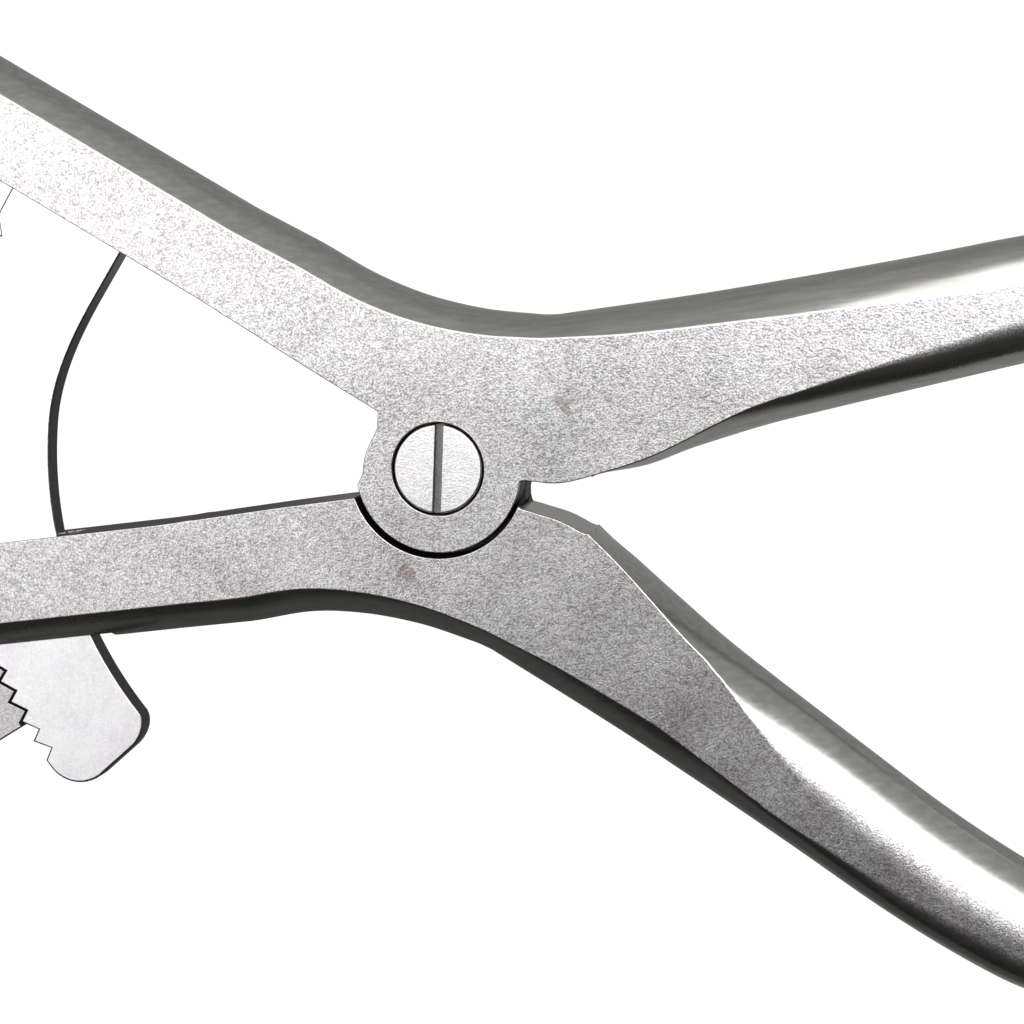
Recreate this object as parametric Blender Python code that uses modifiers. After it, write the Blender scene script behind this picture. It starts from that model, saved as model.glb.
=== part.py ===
"""Ratcheted jaw-spreading forceps (a mouth gag) in stainless steel.

Two levers that don't cross turn on a slotted screw in a half-lap joint, so squeezing the handles opens
the bowed jaws. A toothed arc on the upper handle runs through a slot in the lower one, where a sprung
pawl catches its teeth and holds the jaws open.

Frame: the screw's axis is Z through the origin, with the flat back at Z = 0. The jaws point to +X and
the handles to -X, on the line halfway between the levers. The upper lever is the one on the +Y side.
The lower lever is the upper one turned half a turn about the X axis, with its own handle width.
"""

import bpy
import bmesh
from math import atan2, cos, degrees, pi, radians, sin
from mathutils import Matrix, Vector

MM = 0.001

# Levers
THICKNESS = 6.6 * MM
HANDLE_ROOT = (-8.2 * MM, 8.1 * MM)
HANDLE_SLOPE = 18.6
HANDLE_STRAIGHT = 46.8 * MM
HANDLE_BOW_RADIUS = 70 * MM
HANDLE_BOW_TURN = 30.0
UPPER_HANDLE_WIDTH = 6.2 * MM
LOWER_HANDLE_WIDTH = 6.8 * MM
HANDLE_ROOT_WIDTH = 7.4 * MM
HANDLE_BULGE = 2.4 * MM

# Jaws: a straight shank, a slow bend, a tight bow, a run back to the middle and a straight tip
JAW_ROOT = (12.4 * MM, 8.4 * MM)
JAW_SLOPE = 25.0
JAW_STRAIGHT = 31.3 * MM
JAW_BEND_RADIUS = 100 * MM
JAW_BEND_TURN = 8.0
JAW_BOW_RADIUS = 18 * MM
JAW_BOW_TURN = 87.0
JAW_HEEL_RADIUS = 6 * MM
TIP_LENGTH = 16 * MM
TIP_WIDTH = 5.0 * MM
TIP_THICKNESS = 3.8 * MM

# Ratchet: the arc turns about the screw; angles are measured up from -X
PITCH = 2.6
RACK_THICKNESS = 2.2 * MM
RACK_INNER = 34.0 * MM
RACK_FLARE = 1.5 * MM
RACK_OUTER = 43.4 * MM
TOOTH_HEIGHT = 1.0 * MM
TOOTH_STEEP = 0.8
RACK_LAST_NOTCH = -47.0
RACK_NOTCHES = 25
RACK_END = -53.3
RACK_ROOT = 29.4
RACK_PIN_RADIUS = 1.0 * MM
RACK_PIN_SPREAD = 5.2 * MM
RACK_PIN_COVER = 1.1 * MM
PAWL_FIRST_NOTCH = 2
PAWL_TEETH = 4
PAWL_DEPTH = 4.2 * MM
PAWL_BOSS = 2.1 * MM
PAWL_PIN_RADIUS = 0.9 * MM
THUMB_HEIGHT = 5.6 * MM
THUMB_LENGTH = 9.0 * MM
THUMB_DEPTH = 1.6 * MM
TAIL_WIDTH = 2.6 * MM

# Motion: the jaws close over a whole number of notches, so that the teeth mesh at that end too
CLOSING_NOTCHES = 2

# Joint
BOSS_RADIUS = 6.9 * MM
HEAD_RADIUS = 3.68 * MM
HEAD_DEPTH = 2.2 * MM
SHANK_RADIUS = 2.3 * MM
SCREW_SLOT_WIDTH = 0.8 * MM
SCREW_SLOT_DEPTH = 0.9 * MM
SCREW_SLOT_TURN = 9.2

# Spring
SPRING_REACH = 25.62 * MM
SPRING_THICKNESS = 0.5 * MM
SPRING_WIDTH = 4.0 * MM
SPRING_SCREW_RADIUS = 0.8 * MM
SPRING_SCREW_HEAD = 1.7 * MM

# Sleeves
SLEEVE_WALL = 1.1 * MM
SLEEVE_LENGTH = 15 * MM

# Fits
GAP = 0.3 * MM
FIT = 0.15 * MM
OVERSHOOT = 1.0 * MM

MIDDLE = THICKNESS / 2
RACK_ROOTS = RACK_OUTER - TOOTH_HEIGHT
SLOT_LOW = MIDDLE - RACK_THICKNESS / 2 - FIT
SLOT_HIGH = MIDDLE + RACK_THICKNESS / 2 + FIT
CLOSED_ANGLE = CLOSING_NOTCHES * PITCH / 2


# Frame of the levers --------------------------------------------------------------------------------

class Path:
    """A line in the XY plane made of straight runs and arcs, read by the distance along it."""

    def __init__(self, start, heading):
        self.runs = []
        self.end = Vector(start)
        self.heading = radians(heading)
        self.length = 0.0

    def straight(self, length):
        self.runs.append((self.length, length, self.end, self.heading, 0.0))
        self.end = self.end + length * direction(self.heading)
        self.length += length
        return self

    def arc(self, radius, turn):
        """Turns left by this many degrees, or right if negative."""
        bend = radians(turn)
        length = radius * abs(bend)
        self.runs.append((self.length, length, self.end, self.heading, bend))
        self.end = self.end + arc_step(length, self.heading, bend)
        self.heading += bend
        self.length += length
        return self

    def at(self, distance):
        """The point there, and the direction of travel as an angle."""
        for begin, length, start, heading, bend in reversed(self.runs):
            if distance >= begin - 1e-9:
                break
        along = distance - begin
        if bend == 0.0:
            return start + along * direction(heading), heading
        part = bend * along / length
        return start + arc_step(along, heading, part), heading + part


def direction(angle):
    return Vector((cos(angle), sin(angle)))


def arc_step(length, heading, bend):
    """The way from an arc's start to its end."""
    chord = length * sin(bend / 2) / (bend / 2) if bend else length
    return chord * direction(heading + bend / 2)


def polar(radius, angle):
    """The point at this radius from the screw, at this many degrees above -X."""
    return Vector((-radius * cos(radians(angle)), radius * sin(radians(angle))))


def polar_arc(radius, first, last, steps):
    return [polar(radius, first + (last - first) * i / steps) for i in range(steps + 1)]


def circle_arc(centre, radius, first, last, steps):
    """Points on a circle, from one angle to another in degrees from +X."""
    angles = [radians(first + (last - first) * i / steps) for i in range(steps + 1)]
    return [Vector(centre) + radius * direction(angle) for angle in angles]


def handle_path():
    path = Path(HANDLE_ROOT, 180 - HANDLE_SLOPE)
    return path.straight(HANDLE_STRAIGHT).arc(HANDLE_BOW_RADIUS, HANDLE_BOW_TURN)


def jaw_path():
    """The run back is as long as the sleeves need to lie side by side when the jaws are closed."""
    path = Path(JAW_ROOT, JAW_SLOPE).straight(JAW_STRAIGHT).arc(JAW_BEND_RADIUS, -JAW_BEND_TURN)
    path.arc(JAW_BOW_RADIUS, -JAW_BOW_TURN)
    heel_turn = CLOSED_ANGLE + JAW_BEND_TURN + JAW_BOW_TURN - JAW_SLOPE
    heel = arc_step(JAW_HEEL_RADIUS * radians(heel_turn), path.heading, radians(heel_turn))
    closing = Matrix.Rotation(-radians(CLOSED_ANGLE), 2)
    offset = TIP_WIDTH / 2 + FIT + SLEEVE_WALL + GAP / 2
    reach = (closing @ (path.end + heel)).y - offset
    run = reach / -(closing @ direction(path.heading)).y
    return path.straight(run).arc(JAW_HEEL_RADIUS, heel_turn).straight(TIP_LENGTH)


HANDLE = handle_path()
JAW = jaw_path()
JOINT_START = 8 * MM
JAW_START = -2.5 * MM


def handle_at_radius(radius):
    """How far along the handle its middle line is this far from the screw."""
    low, high = 0.0, HANDLE.length
    for _ in range(40):
        half = (low + high) / 2
        if HANDLE.at(half)[0].length < radius:
            low = half
        else:
            high = half
    return low


class HandleFrame:
    """Places things on a handle: along it away from the screw, and out from its middle line."""

    def __init__(self, distance, out=0.0):
        point, heading = HANDLE.at(distance)
        self.along = direction(heading)
        self.outward = Vector((self.along.y, -self.along.x))
        self.origin = point + out * self.outward

    def place(self, along, out):
        return self.origin + along * self.along + out * self.outward


PAWL_FRAME = HandleFrame(handle_at_radius(RACK_OUTER + 4.4 * MM), 0.95 * MM)
SPRING_FRAME = HandleFrame(handle_at_radius(RACK_OUTER + 4.4 * MM) + SPRING_REACH)


# Making solids --------------------------------------------------------------------------------------

def new_collection(name):
    collection = bpy.data.collections.new(name)
    bpy.context.scene.collection.children.link(collection)
    return collection


def steel(name, colour, roughness):
    material = bpy.data.materials.new(name)
    material.use_nodes = True
    shader = material.node_tree.nodes["Principled BSDF"]
    shader.inputs["Base Color"].default_value = (*colour, 1.0)
    shader.inputs["Roughness"].default_value = roughness
    shader.inputs["Metallic"].default_value = 1.0
    return material


def rubber(name, colour):
    material = bpy.data.materials.new(name)
    material.use_nodes = True
    shader = material.node_tree.nodes["Principled BSDF"]
    shader.inputs["Base Color"].default_value = (*colour, 1.0)
    shader.inputs["Roughness"].default_value = 0.75
    return material


def add_object(name, mesh, collection, material=None):
    obj = bpy.data.objects.new(name, mesh)
    collection.objects.link(obj)
    if material:
        mesh.materials.append(material)
    else:
        obj.hide_render = True
        obj.display_type = "WIRE"
    return obj


def flip(mesh):
    """Turns a mesh from the upper lever's side to the lower one's, half a turn about X at mid-thickness."""
    turn = Matrix.Rotation(pi, 4, "X")
    mesh.transform(Matrix.Translation((0, 0, MIDDLE)) @ turn @ Matrix.Translation((0, 0, -MIDDLE)))


def plate(name, outline, low, high, collection, material=None):
    """A flat plate or cutter with this outline, between two heights."""
    curve = bpy.data.curves.new(name, "CURVE")
    curve.dimensions = "2D"
    curve.fill_mode = "BOTH"
    curve.extrude = (high - low) / 2
    spline = curve.splines.new("POLY")
    spline.points.add(len(outline) - 1)
    for point, corner in zip(spline.points, outline):
        point.co = (corner[0], corner[1], 0.0, 1.0)
    spline.use_cyclic_u = True
    shape = bpy.data.objects.new(name + "_outline", curve)
    bpy.context.scene.collection.objects.link(shape)
    graph = bpy.context.evaluated_depsgraph_get()
    mesh = bpy.data.meshes.new_from_object(shape.evaluated_get(graph))
    bpy.data.objects.remove(shape)
    mesh.name = name
    mesh.transform(Matrix.Translation((0, 0, (low + high) / 2)))
    work = bmesh.new()
    work.from_mesh(mesh)
    bmesh.ops.remove_doubles(work, verts=work.verts, dist=0.001 * MM)
    bmesh.ops.recalc_face_normals(work, faces=work.faces)
    work.to_mesh(mesh)
    work.free()
    mesh.materials.clear()
    return add_object(name, mesh, collection, material)


def cylinder(name, centre, radius, low, high, collection, material=None, sides=32):
    """A round bar along Z."""
    work = bmesh.new()
    place = Matrix.Translation((centre[0], centre[1], (low + high) / 2))
    bmesh.ops.create_cone(work, cap_ends=True, segments=sides, radius1=radius, radius2=radius,
                          depth=high - low, matrix=place)
    mesh = bpy.data.meshes.new(name)
    work.to_mesh(mesh)
    work.free()
    smooth(mesh)
    return add_object(name, mesh, collection, material)


def smooth(mesh):
    mesh.shade_smooth()
    mesh.set_sharp_from_angle(angle=radians(35))


def cut(obj, cutter, operation="DIFFERENCE"):
    modifier = obj.modifiers.new(cutter.name, "BOOLEAN")
    modifier.operation = operation
    modifier.solver = "EXACT"
    modifier.object = cutter


class Section:
    """One cross-section of a lever: where its flat runs to, how far its sides bulge and how thick it is.

    A side is a parabola that meets the flat at an edge where crest is 1, and an ellipse where it is 0.5.
    """

    def __init__(self, inner, outer, inner_bulge, outer_bulge, thickness=THICKNESS, inner_crest=1.0,
                 outer_crest=1.0, side_steps=8):
        across = (Vector(outer) - Vector(inner)).normalized()
        sides = ((Vector(outer), outer_bulge, outer_crest, 1), (Vector(inner), inner_bulge, inner_crest, -1))
        self.points = []
        for edge, bulge, crest, turn in sides:
            for i in range(side_steps + 1):
                lift = turn * cos(pi * i / side_steps)
                side = edge + turn * bulge * max(1 - lift * lift, 0.0) ** crest * across
                self.points.append(Vector((side.x, side.y, MIDDLE + lift * thickness / 2)))


def loft(name, sections, collection, material=None):
    """A closed solid through the sections, with flat ends."""
    work = bmesh.new()
    rings = [[work.verts.new(point) for point in section.points] for section in sections]
    for ring, following in zip(rings, rings[1:]):
        for i in range(len(ring)):
            j = (i + 1) % len(ring)
            work.faces.new((ring[i], ring[j], following[j], following[i]))
    work.faces.new(rings[0])
    work.faces.new(list(reversed(rings[-1])))
    bmesh.ops.remove_doubles(work, verts=work.verts, dist=0.001 * MM)
    bmesh.ops.recalc_face_normals(work, faces=work.faces)
    mesh = bpy.data.meshes.new(name)
    work.to_mesh(mesh)
    work.free()
    smooth(mesh)
    return add_object(name, mesh, collection, material)


# Levers ---------------------------------------------------------------------------------------------

def ease(value, first, last):
    """0 before first, 1 after last, and smooth between."""
    part = min(max((value - first) / (last - first), 0.0), 1.0)
    return part * part * (3 - 2 * part)


def blend(stops, distance):
    """Reads a size from a smooth curve through stops, pairs of a distance and the size there.

    The curve makes no humps between the stops, and the size stays the same past the first and the last.
    """
    place = min(max(distance, stops[0][0]), stops[-1][0])
    slopes = [(far[1] - near[1]) / (far[0] - near[0]) for near, far in zip(stops, stops[1:])]
    inner = [2 * a * b / (a + b) if a * b > 0 else 0.0 for a, b in zip(slopes, slopes[1:])]
    tangents = [slopes[0]] + inner + [slopes[-1]]
    span = max(i for i in range(len(slopes)) if stops[i][0] <= place)
    (near, size), (far, following) = stops[span], stops[span + 1]
    length = far - near
    t = (place - near) / length
    start, end = tangents[span] * length, tangents[span + 1] * length
    return (size + start * t + (3 * (following - size) - 2 * start - end) * t ** 2
            + (2 * (size - following) + start + end) * t ** 3)


def path_section(path, distance, side, inner, outer, inner_bulge, outer_bulge, thickness=THICKNESS,
                 inner_crest=0.5, outer_crest=0.5):
    """A section square to a path; side is 1 where the outer edge is to the left of the way."""
    point, heading = path.at(distance)
    outward = side * direction(heading + pi / 2)
    return Section(point - inner * outward, point + outer * outward, inner_bulge, outer_bulge, thickness,
                   inner_crest, outer_crest)


def handle_inner(distance):
    """How far in from the handle's middle line its flat inner side is."""
    return blend([(0, HANDLE_ROOT_WIDTH / 2 - 0.2 * MM), (14 * MM, UPPER_HANDLE_WIDTH / 2)], distance)


def handle_sections(width):
    """From the rounded end of the handle to the joint; the last stretch is left thicker inside, to be cut."""
    half = width / 2
    outer_stops = [(0, HANDLE_ROOT_WIDTH / 2 + 0.1 * MM), (14 * MM, width - UPPER_HANDLE_WIDTH / 2)]
    end = HANDLE.length
    nose = half + HANDLE_BULGE / 2
    sections = []
    for i in range(7):
        back = nose * (1 - cos(pi / 2 * (i + 0.4) / 6.4))
        share = sin(pi / 2 * (i + 0.4) / 6.4)
        sections.append(handle_section(end - back, outer_stops, share))
    steps = 24
    first = end - nose * 1.05
    for i in range(steps + 1):
        sections.append(handle_section(first + (JOINT_START - first) * i / steps, outer_stops, 1.0))
    return sections


def handle_section(distance, outer_stops, share):
    thick = THICKNESS * (0.3 + 0.7 * share)
    spare = 0.3 * MM * (1 - ease(distance, JOINT_START, JOINT_START + 4.5 * MM))
    return path_section(HANDLE, distance, -1, handle_inner(distance) * share + spare,
                        blend(outer_stops, distance) * share, 0.0, HANDLE_BULGE * share, thick, 1.0, 1.0)


def joint_sections():
    """A fan of sections round the joint, wide enough to hold the boss; the cutters give its real edge."""
    low = -BOSS_RADIUS - 1.3 * MM
    fan = [
        ((-13.4 * MM, 2.0 * MM), (-12.1 * MM, 13.02 * MM)),
        ((-11.5 * MM, -2.0 * MM), (-9.5 * MM, 12.35 * MM)),
        ((-6.5 * MM, low), (-4.4 * MM, 11.62 * MM)),
        ((-3.0 * MM, low), (-1.8 * MM, 11.48 * MM)),
        ((0.5 * MM, low), (0.8 * MM, 11.48 * MM)),
        ((4.0 * MM, low), (3.2 * MM, 11.65 * MM)),
        ((7.6 * MM, low), (5.4 * MM, 11.95 * MM)),
        ((10.6 * MM, -1.6 * MM), (6.8 * MM, 12.25 * MM)),
    ]
    return [Section(inner, outer, 0.0, HANDLE_BULGE) for inner, outer in fan]


def jaw_sections():
    """From the joint to the rounded tip. The flats narrow until the jaw is an oval bar."""
    tip = JAW.length - TIP_LENGTH
    bow = JAW_STRAIGHT + JAW_BEND_RADIUS * radians(JAW_BEND_TURN)
    outer_flat = [(JAW_START, 5.5 * MM), (3 * MM, 4.65 * MM), (12 * MM, 3.65 * MM), (31 * MM, 1.7 * MM),
                  (bow, 0.6 * MM), (tip, 0.9 * MM)]
    inner_flat = [(JAW_START, 5.3 * MM), (12 * MM, 3.2 * MM), (31 * MM, 1.5 * MM), (bow, 0.6 * MM),
                  (tip, 0.9 * MM)]
    outer_side = [(JAW_START, 7.9 * MM), (12 * MM, 6.3 * MM), (31 * MM, 5.2 * MM), (bow, 4.8 * MM),
                  (tip - 8 * MM, 3.4 * MM), (tip, TIP_WIDTH / 2)]
    inner_side = [(JAW_START, 5.32 * MM), (1.4 * MM, 5.55 * MM), (6 * MM, 5.45 * MM), (14 * MM, 5.0 * MM),
                  (31 * MM, 4.9 * MM), (bow, 4.8 * MM), (tip - 8 * MM, 3.4 * MM), (tip, TIP_WIDTH / 2)]
    thickness = [(0, THICKNESS), (bow + 10 * MM, THICKNESS), (tip, TIP_THICKNESS)]
    inner_crest = [(10 * MM, 1.0), (26 * MM, 0.5)]
    outer_crest = [(18 * MM, 1.0), (36 * MM, 0.5)]

    def section(distance, share=1.0):
        inner = blend(inner_flat, distance)
        outer = blend(outer_flat, distance)
        return path_section(JAW, distance, 1, inner * share, outer * share,
                            (blend(inner_side, distance) - inner) * share,
                            (blend(outer_side, distance) - outer) * share,
                            blend(thickness, distance) * share, blend(inner_crest, distance),
                            blend(outer_crest, distance))

    nose = TIP_WIDTH / 2
    steps = 47
    run = JAW.length - nose - JAW_START
    sections = [section(JAW_START + run * i / steps) for i in range(steps + 1)]
    for i in range(1, 6):
        swing = pi / 2 * i / 5.6
        sections.append(section(JAW.length - nose + nose * sin(swing), cos(swing)))
    return sections


def joint_edge_outline():
    """The space below a lever at full height: the handle's inner edge, the boss and the stop face."""
    inner_edge = [handle_inner_point(distance * MM) for distance in (13.4, 11.9, 10, 8, 6, 3, -3.7)]
    relief = [(-5.62 * MM, 2.3 * MM), (-5.7 * MM, 1.8 * MM), (-5.9 * MM, 1.15 * MM), (-6.13 * MM, 0.1 * MM),
              (-6.17 * MM, -0.9 * MM), (-6.12 * MM, -1.8 * MM)]
    boss = circle_arc((0, 0), BOSS_RADIUS, 203, 364, 40)
    stop = [(7.5 * MM, 0.62 * MM), (8.7 * MM, 0.74 * MM), (9.75 * MM, 0.9 * MM), (10.9 * MM, 1.3 * MM),
            (11.9 * MM, 1.85 * MM), (12.4 * MM, 0.6 * MM), (14 * MM, -3 * MM)]
    below = [(18 * MM, -13 * MM), (-18 * MM, -13 * MM)]
    return below + inner_edge + relief + boss + stop


def handle_inner_point(distance):
    """A point on the flat inner side of a handle, or on its line into the joint.

    It moves clear of the handle where the cut ends.
    """
    point, heading = HANDLE.at(max(distance, 0.0))
    clear = 0.12 * MM * ease(distance, 10.5 * MM, 13.4 * MM)
    edge = point - (handle_inner(max(distance, 0.0)) + clear) * direction(heading - pi / 2)
    return edge + min(distance, 0.0) * direction(heading)


def recess_outline():
    """The space that a lever's back half leaves for the other lever's boss, and behind its stop face."""
    recess = circle_arc((0, 0), BOSS_RADIUS + 1.3 * GAP, 12, 340, 60)
    return recess + [(14.2 * MM, -3 * MM), (14.2 * MM, 1.0 * MM), (12.6 * MM, 2.2 * MM),
                     (11.9 * MM, 2.32 * MM), (9.8 * MM, 1.9 * MM), (8.0 * MM, 1.76 * MM)]


def lever(name, width, flipped, parts, cutters, material):
    sections = handle_sections(width) + joint_sections() + jaw_sections()
    body = loft(name, sections, parts, material)
    seam = MIDDLE + GAP / 2
    edge = plate(name + "_edge_cut", joint_edge_outline(), -OVERSHOOT, THICKNESS + OVERSHOOT, cutters)
    recess = plate(name + "_recess_cut", recess_outline(), -OVERSHOOT, seam, cutters)
    if flipped:
        for obj in (body, edge, recess):
            flip(obj.data)
    cut(body, edge)
    cut(body, recess)
    shank = cylinder(name + "_screw_cut", (0, 0), SHANK_RADIUS + FIT, -OVERSHOOT,
                     THICKNESS + OVERSHOOT, cutters)
    cut(body, shank)
    return body


def rack_pin_places():
    middle = (RACK_INNER + RACK_ROOTS) / 2
    return [HANDLE.at(handle_at_radius(middle + side * RACK_PIN_SPREAD / 2))[0] for side in (-1, 1)]


def upper_lever(parts, cutters, material):
    body = lever("upper_lever", UPPER_HANDLE_WIDTH, False, parts, cutters, material)
    head = cylinder("screw_head_cut", (0, 0), HEAD_RADIUS + FIT, THICKNESS - HEAD_DEPTH - FIT,
                    THICKNESS + OVERSHOOT, cutters, sides=48)
    cut(body, head)
    inner = RACK_INNER - RACK_FLARE - GAP
    outline = polar_arc(inner, 12, RACK_ROOT + 0.5, 8) + polar_arc(RACK_OUTER + GAP, RACK_ROOT + 0.5, 12, 8)
    cut(body, plate("rack_root_cut", outline, SLOT_LOW, SLOT_HIGH, cutters))
    for number, place in enumerate(rack_pin_places()):
        hole = cylinder(f"rack_pin_{number}_cut", place, RACK_PIN_RADIUS + FIT, -OVERSHOOT,
                        THICKNESS - RACK_PIN_COVER + FIT, cutters, sides=24)
        cut(body, hole)


def mirrored(points):
    return [Vector((point[0], -point[1])) for point in points]


def lower_lever(parts, cutters, material):
    body = lever("lower_lever", LOWER_HANDLE_WIDTH, True, parts, cutters, material)
    frame = PAWL_FRAME
    passage = polar_arc(RACK_INNER - RACK_FLARE - GAP, 8, 54, 16)
    pivot = circle_arc(frame.origin, PAWL_BOSS + GAP, -189, -50, 12)
    pocket = [frame.place(7.5 * MM, 1.9 * MM), frame.place(17 * MM, 3.7 * MM),
              frame.place(19 * MM, 9 * MM), polar(60 * MM, 50)]
    outer = polar_arc(RACK_OUTER + 1.6 * GAP, 22, 8, 6)
    outline = mirrored(passage + list(reversed(pocket)) + pivot + outer)
    cut(body, plate("ratchet_slot_cut", outline, SLOT_LOW, SLOT_HIGH, cutters))
    pin = cylinder("pawl_pin_cut", mirrored([frame.origin])[0], PAWL_PIN_RADIUS + FIT, -OVERSHOOT,
                   THICKNESS + OVERSHOOT, cutters, sides=24)
    cut(body, pin)
    cut(body, spring_seat_cutter(cutters))
    cut(body, radial_bar("spring_screw_cut", SPRING_SCREW_RADIUS + FIT, spring_seat() - 3.2 * MM,
                         spring_seat() + 3 * MM, cutters))


# Joint screw ----------------------------------------------------------------------------------------

def turned(name, profile, collection, material, sides=48):
    """A solid turned about Z from a profile of radius and height, from its top centre to its bottom."""
    mesh = bpy.data.meshes.new(name)
    work = bmesh.new()
    corners = [work.verts.new((radius, 0.0, height)) for radius, height in profile]
    for near, far in zip(corners, corners[1:]):
        work.edges.new((near, far))
    bmesh.ops.spin(work, geom=work.verts[:] + work.edges[:], cent=(0, 0, 0), axis=(0, 0, 1),
                   angle=2 * pi, steps=sides, use_merge=True)
    bmesh.ops.remove_doubles(work, verts=work.verts, dist=0.001 * MM)
    bmesh.ops.recalc_face_normals(work, faces=work.faces)
    work.to_mesh(mesh)
    work.free()
    smooth(mesh)
    return add_object(name, mesh, collection, material)


def box(name, size, matrix, collection, material=None):
    work = bmesh.new()
    bmesh.ops.create_cube(work, size=1.0, matrix=matrix @ Matrix.Diagonal((*size, 1.0)))
    mesh = bpy.data.meshes.new(name)
    work.to_mesh(mesh)
    work.free()
    return add_object(name, mesh, collection, material)


def pivot_screw(parts, cutters, material):
    top = THICKNESS - 0.05 * MM
    under = top - HEAD_DEPTH + FIT
    bottom = 0.0
    chamfer = 0.2 * MM
    profile = [(0, top), (HEAD_RADIUS - chamfer, top), (HEAD_RADIUS, top - chamfer), (HEAD_RADIUS, under),
               (SHANK_RADIUS, under), (SHANK_RADIUS, bottom + chamfer), (SHANK_RADIUS - chamfer, bottom),
               (0, bottom)]
    screw = turned("pivot_screw", profile, parts, material)
    turn = Matrix.Rotation(radians(SCREW_SLOT_TURN), 4, "Z")
    place = turn @ Matrix.Translation((0, 0, top))
    size = (SCREW_SLOT_WIDTH, 3 * HEAD_RADIUS, 2 * SCREW_SLOT_DEPTH)
    cut(screw, box("driver_slot_cut", size, place, cutters))


# Ratchet --------------------------------------------------------------------------------------------

def notch_angle(number):
    return RACK_LAST_NOTCH + PITCH * number


def rack_outline():
    """Inner edge down to the free end, then the teeth back up to the root."""
    points = []
    for i in range(29):
        angle = RACK_ROOT + (RACK_END + 2.8 - RACK_ROOT) * i / 28
        points.append(polar(RACK_INNER - RACK_FLARE * ease(angle, -6, 20), angle))
    corner = 2.6 * MM
    for i in range(1, 7):
        swing = pi / 2 * i / 6
        radius = RACK_INNER + corner * (1 - cos(swing))
        points.append(polar(radius, RACK_END + degrees(corner / RACK_OUTER) * 0.9 * (1 - sin(swing))))
    corner = 3.4 * MM
    for i in range(1, 7):
        swing = pi / 2 * i / 6
        radius = RACK_OUTER - corner * (1 - sin(swing))
        points.append(polar(radius, RACK_END + degrees(corner / RACK_OUTER) * (1 - cos(swing))))
    for number in range(RACK_NOTCHES):
        points.append(polar(RACK_OUTER, notch_angle(number) - TOOTH_STEEP))
        points.append(polar(RACK_ROOTS, notch_angle(number)))
    points.append(polar(RACK_OUTER, notch_angle(RACK_NOTCHES) - TOOTH_STEEP))
    points += polar_arc(RACK_OUTER, notch_angle(RACK_NOTCHES) + 0.4, RACK_ROOT, 6)
    return points


def ratchet_rack(parts, cutters, material):
    low = MIDDLE - RACK_THICKNESS / 2
    high = MIDDLE + RACK_THICKNESS / 2
    rack = plate("ratchet_rack", rack_outline(), low, high, parts, material)
    for number, place in enumerate(rack_pin_places()):
        cut(rack, cylinder(f"rack_hole_{number}_cut", place, RACK_PIN_RADIUS + FIT, low - OVERSHOOT,
                           high + OVERSHOOT, cutters, sides=24))


def rack_pins(parts, material):
    for name, place in zip(("rack_pin_inner", "rack_pin_outer"), rack_pin_places()):
        cylinder(name, place, RACK_PIN_RADIUS, 0.1 * MM, THICKNESS - RACK_PIN_COVER, parts, material,
                 sides=24)


def tail_line():
    """The middle of the pawl's tail, from beside the boss to the middle of its round end."""
    return PAWL_FRAME.place(5.2 * MM, 5.9 * MM), PAWL_FRAME.place(23.0 * MM, 13.0 * MM)


def pawl_outline():
    """The toothed nose, the boss round the pin and the thumb tail, on the upper side's coordinates."""
    clear = 0.25 * MM
    first = -notch_angle(PAWL_FIRST_NOTCH)
    points = [polar(RACK_OUTER + clear, first + TOOTH_STEEP + 0.5)]
    for number in range(PAWL_TEETH):
        notch = first - PITCH * number
        points.append(polar(RACK_OUTER + clear, notch + TOOTH_STEEP))
        points.append(polar(RACK_ROOTS + clear, notch))
    last = first - PITCH * PAWL_TEETH
    points += polar_arc(RACK_OUTER + 2 * clear, last + TOOTH_STEEP, last - 3.5, 3)
    points += circle_arc(PAWL_FRAME.origin, PAWL_BOSS, -5, -200, 14)
    near, far = tail_line()
    heading = degrees(atan2(far.y - near.y, far.x - near.x))
    points.append(near + TAIL_WIDTH / 2 * direction(radians(heading + 90)))
    points += circle_arc(far, TAIL_WIDTH / 2, heading + 90, heading - 90, 8)
    points.append(near + TAIL_WIDTH / 2 * direction(radians(heading - 90)))
    points += polar_arc(RACK_OUTER + PAWL_DEPTH, first - 8, first + TOOTH_STEEP - 0.2, 5)
    points.append(polar(RACK_OUTER + PAWL_DEPTH - 0.8 * MM, first + TOOTH_STEEP + 0.5))
    return points


def pawl_lever(parts, cutters, material):
    low = MIDDLE - RACK_THICKNESS / 2
    high = MIDDLE + RACK_THICKNESS / 2
    pawl = plate("pawl_lever", mirrored(pawl_outline()), low, high, parts, material)
    centre = mirrored([PAWL_FRAME.origin])[0]
    cut(pawl, thumb_pad(cutters), "UNION")
    cut(pawl, cylinder("pawl_hole_cut", centre, PAWL_PIN_RADIUS + FIT, low - OVERSHOOT,
                       high + OVERSHOOT, cutters, sides=24))


def thumb_pad(cutters):
    """The wide pad that the thumb presses, on the outer side of the tail's end."""
    near, far = tail_line()
    along = (far - near).normalized()
    outward = Vector((along.y, -along.x))
    centre = far - along * (THUMB_LENGTH / 2 - 0.6 * MM) + outward * (TAIL_WIDTH + THUMB_DEPTH) / 2.6
    place = Matrix.Translation((centre.x, -centre.y, MIDDLE))
    place = place @ Matrix.Rotation(atan2(-along.y, along.x), 4, "Z")
    pad = box("thumb_pad", (THUMB_LENGTH, THUMB_DEPTH, THUMB_HEIGHT), place, cutters)
    bevel = pad.modifiers.new("round", "BEVEL")
    bevel.width = 0.55 * MM
    bevel.segments = 3
    return pad


def pawl_pin(parts, material):
    centre = mirrored([PAWL_FRAME.origin])[0]
    cylinder("pawl_pin", centre, PAWL_PIN_RADIUS, 0.1 * MM, THICKNESS - 0.1 * MM, parts, material, sides=24)


# Pawl spring ----------------------------------------------------------------------------------------

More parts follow.
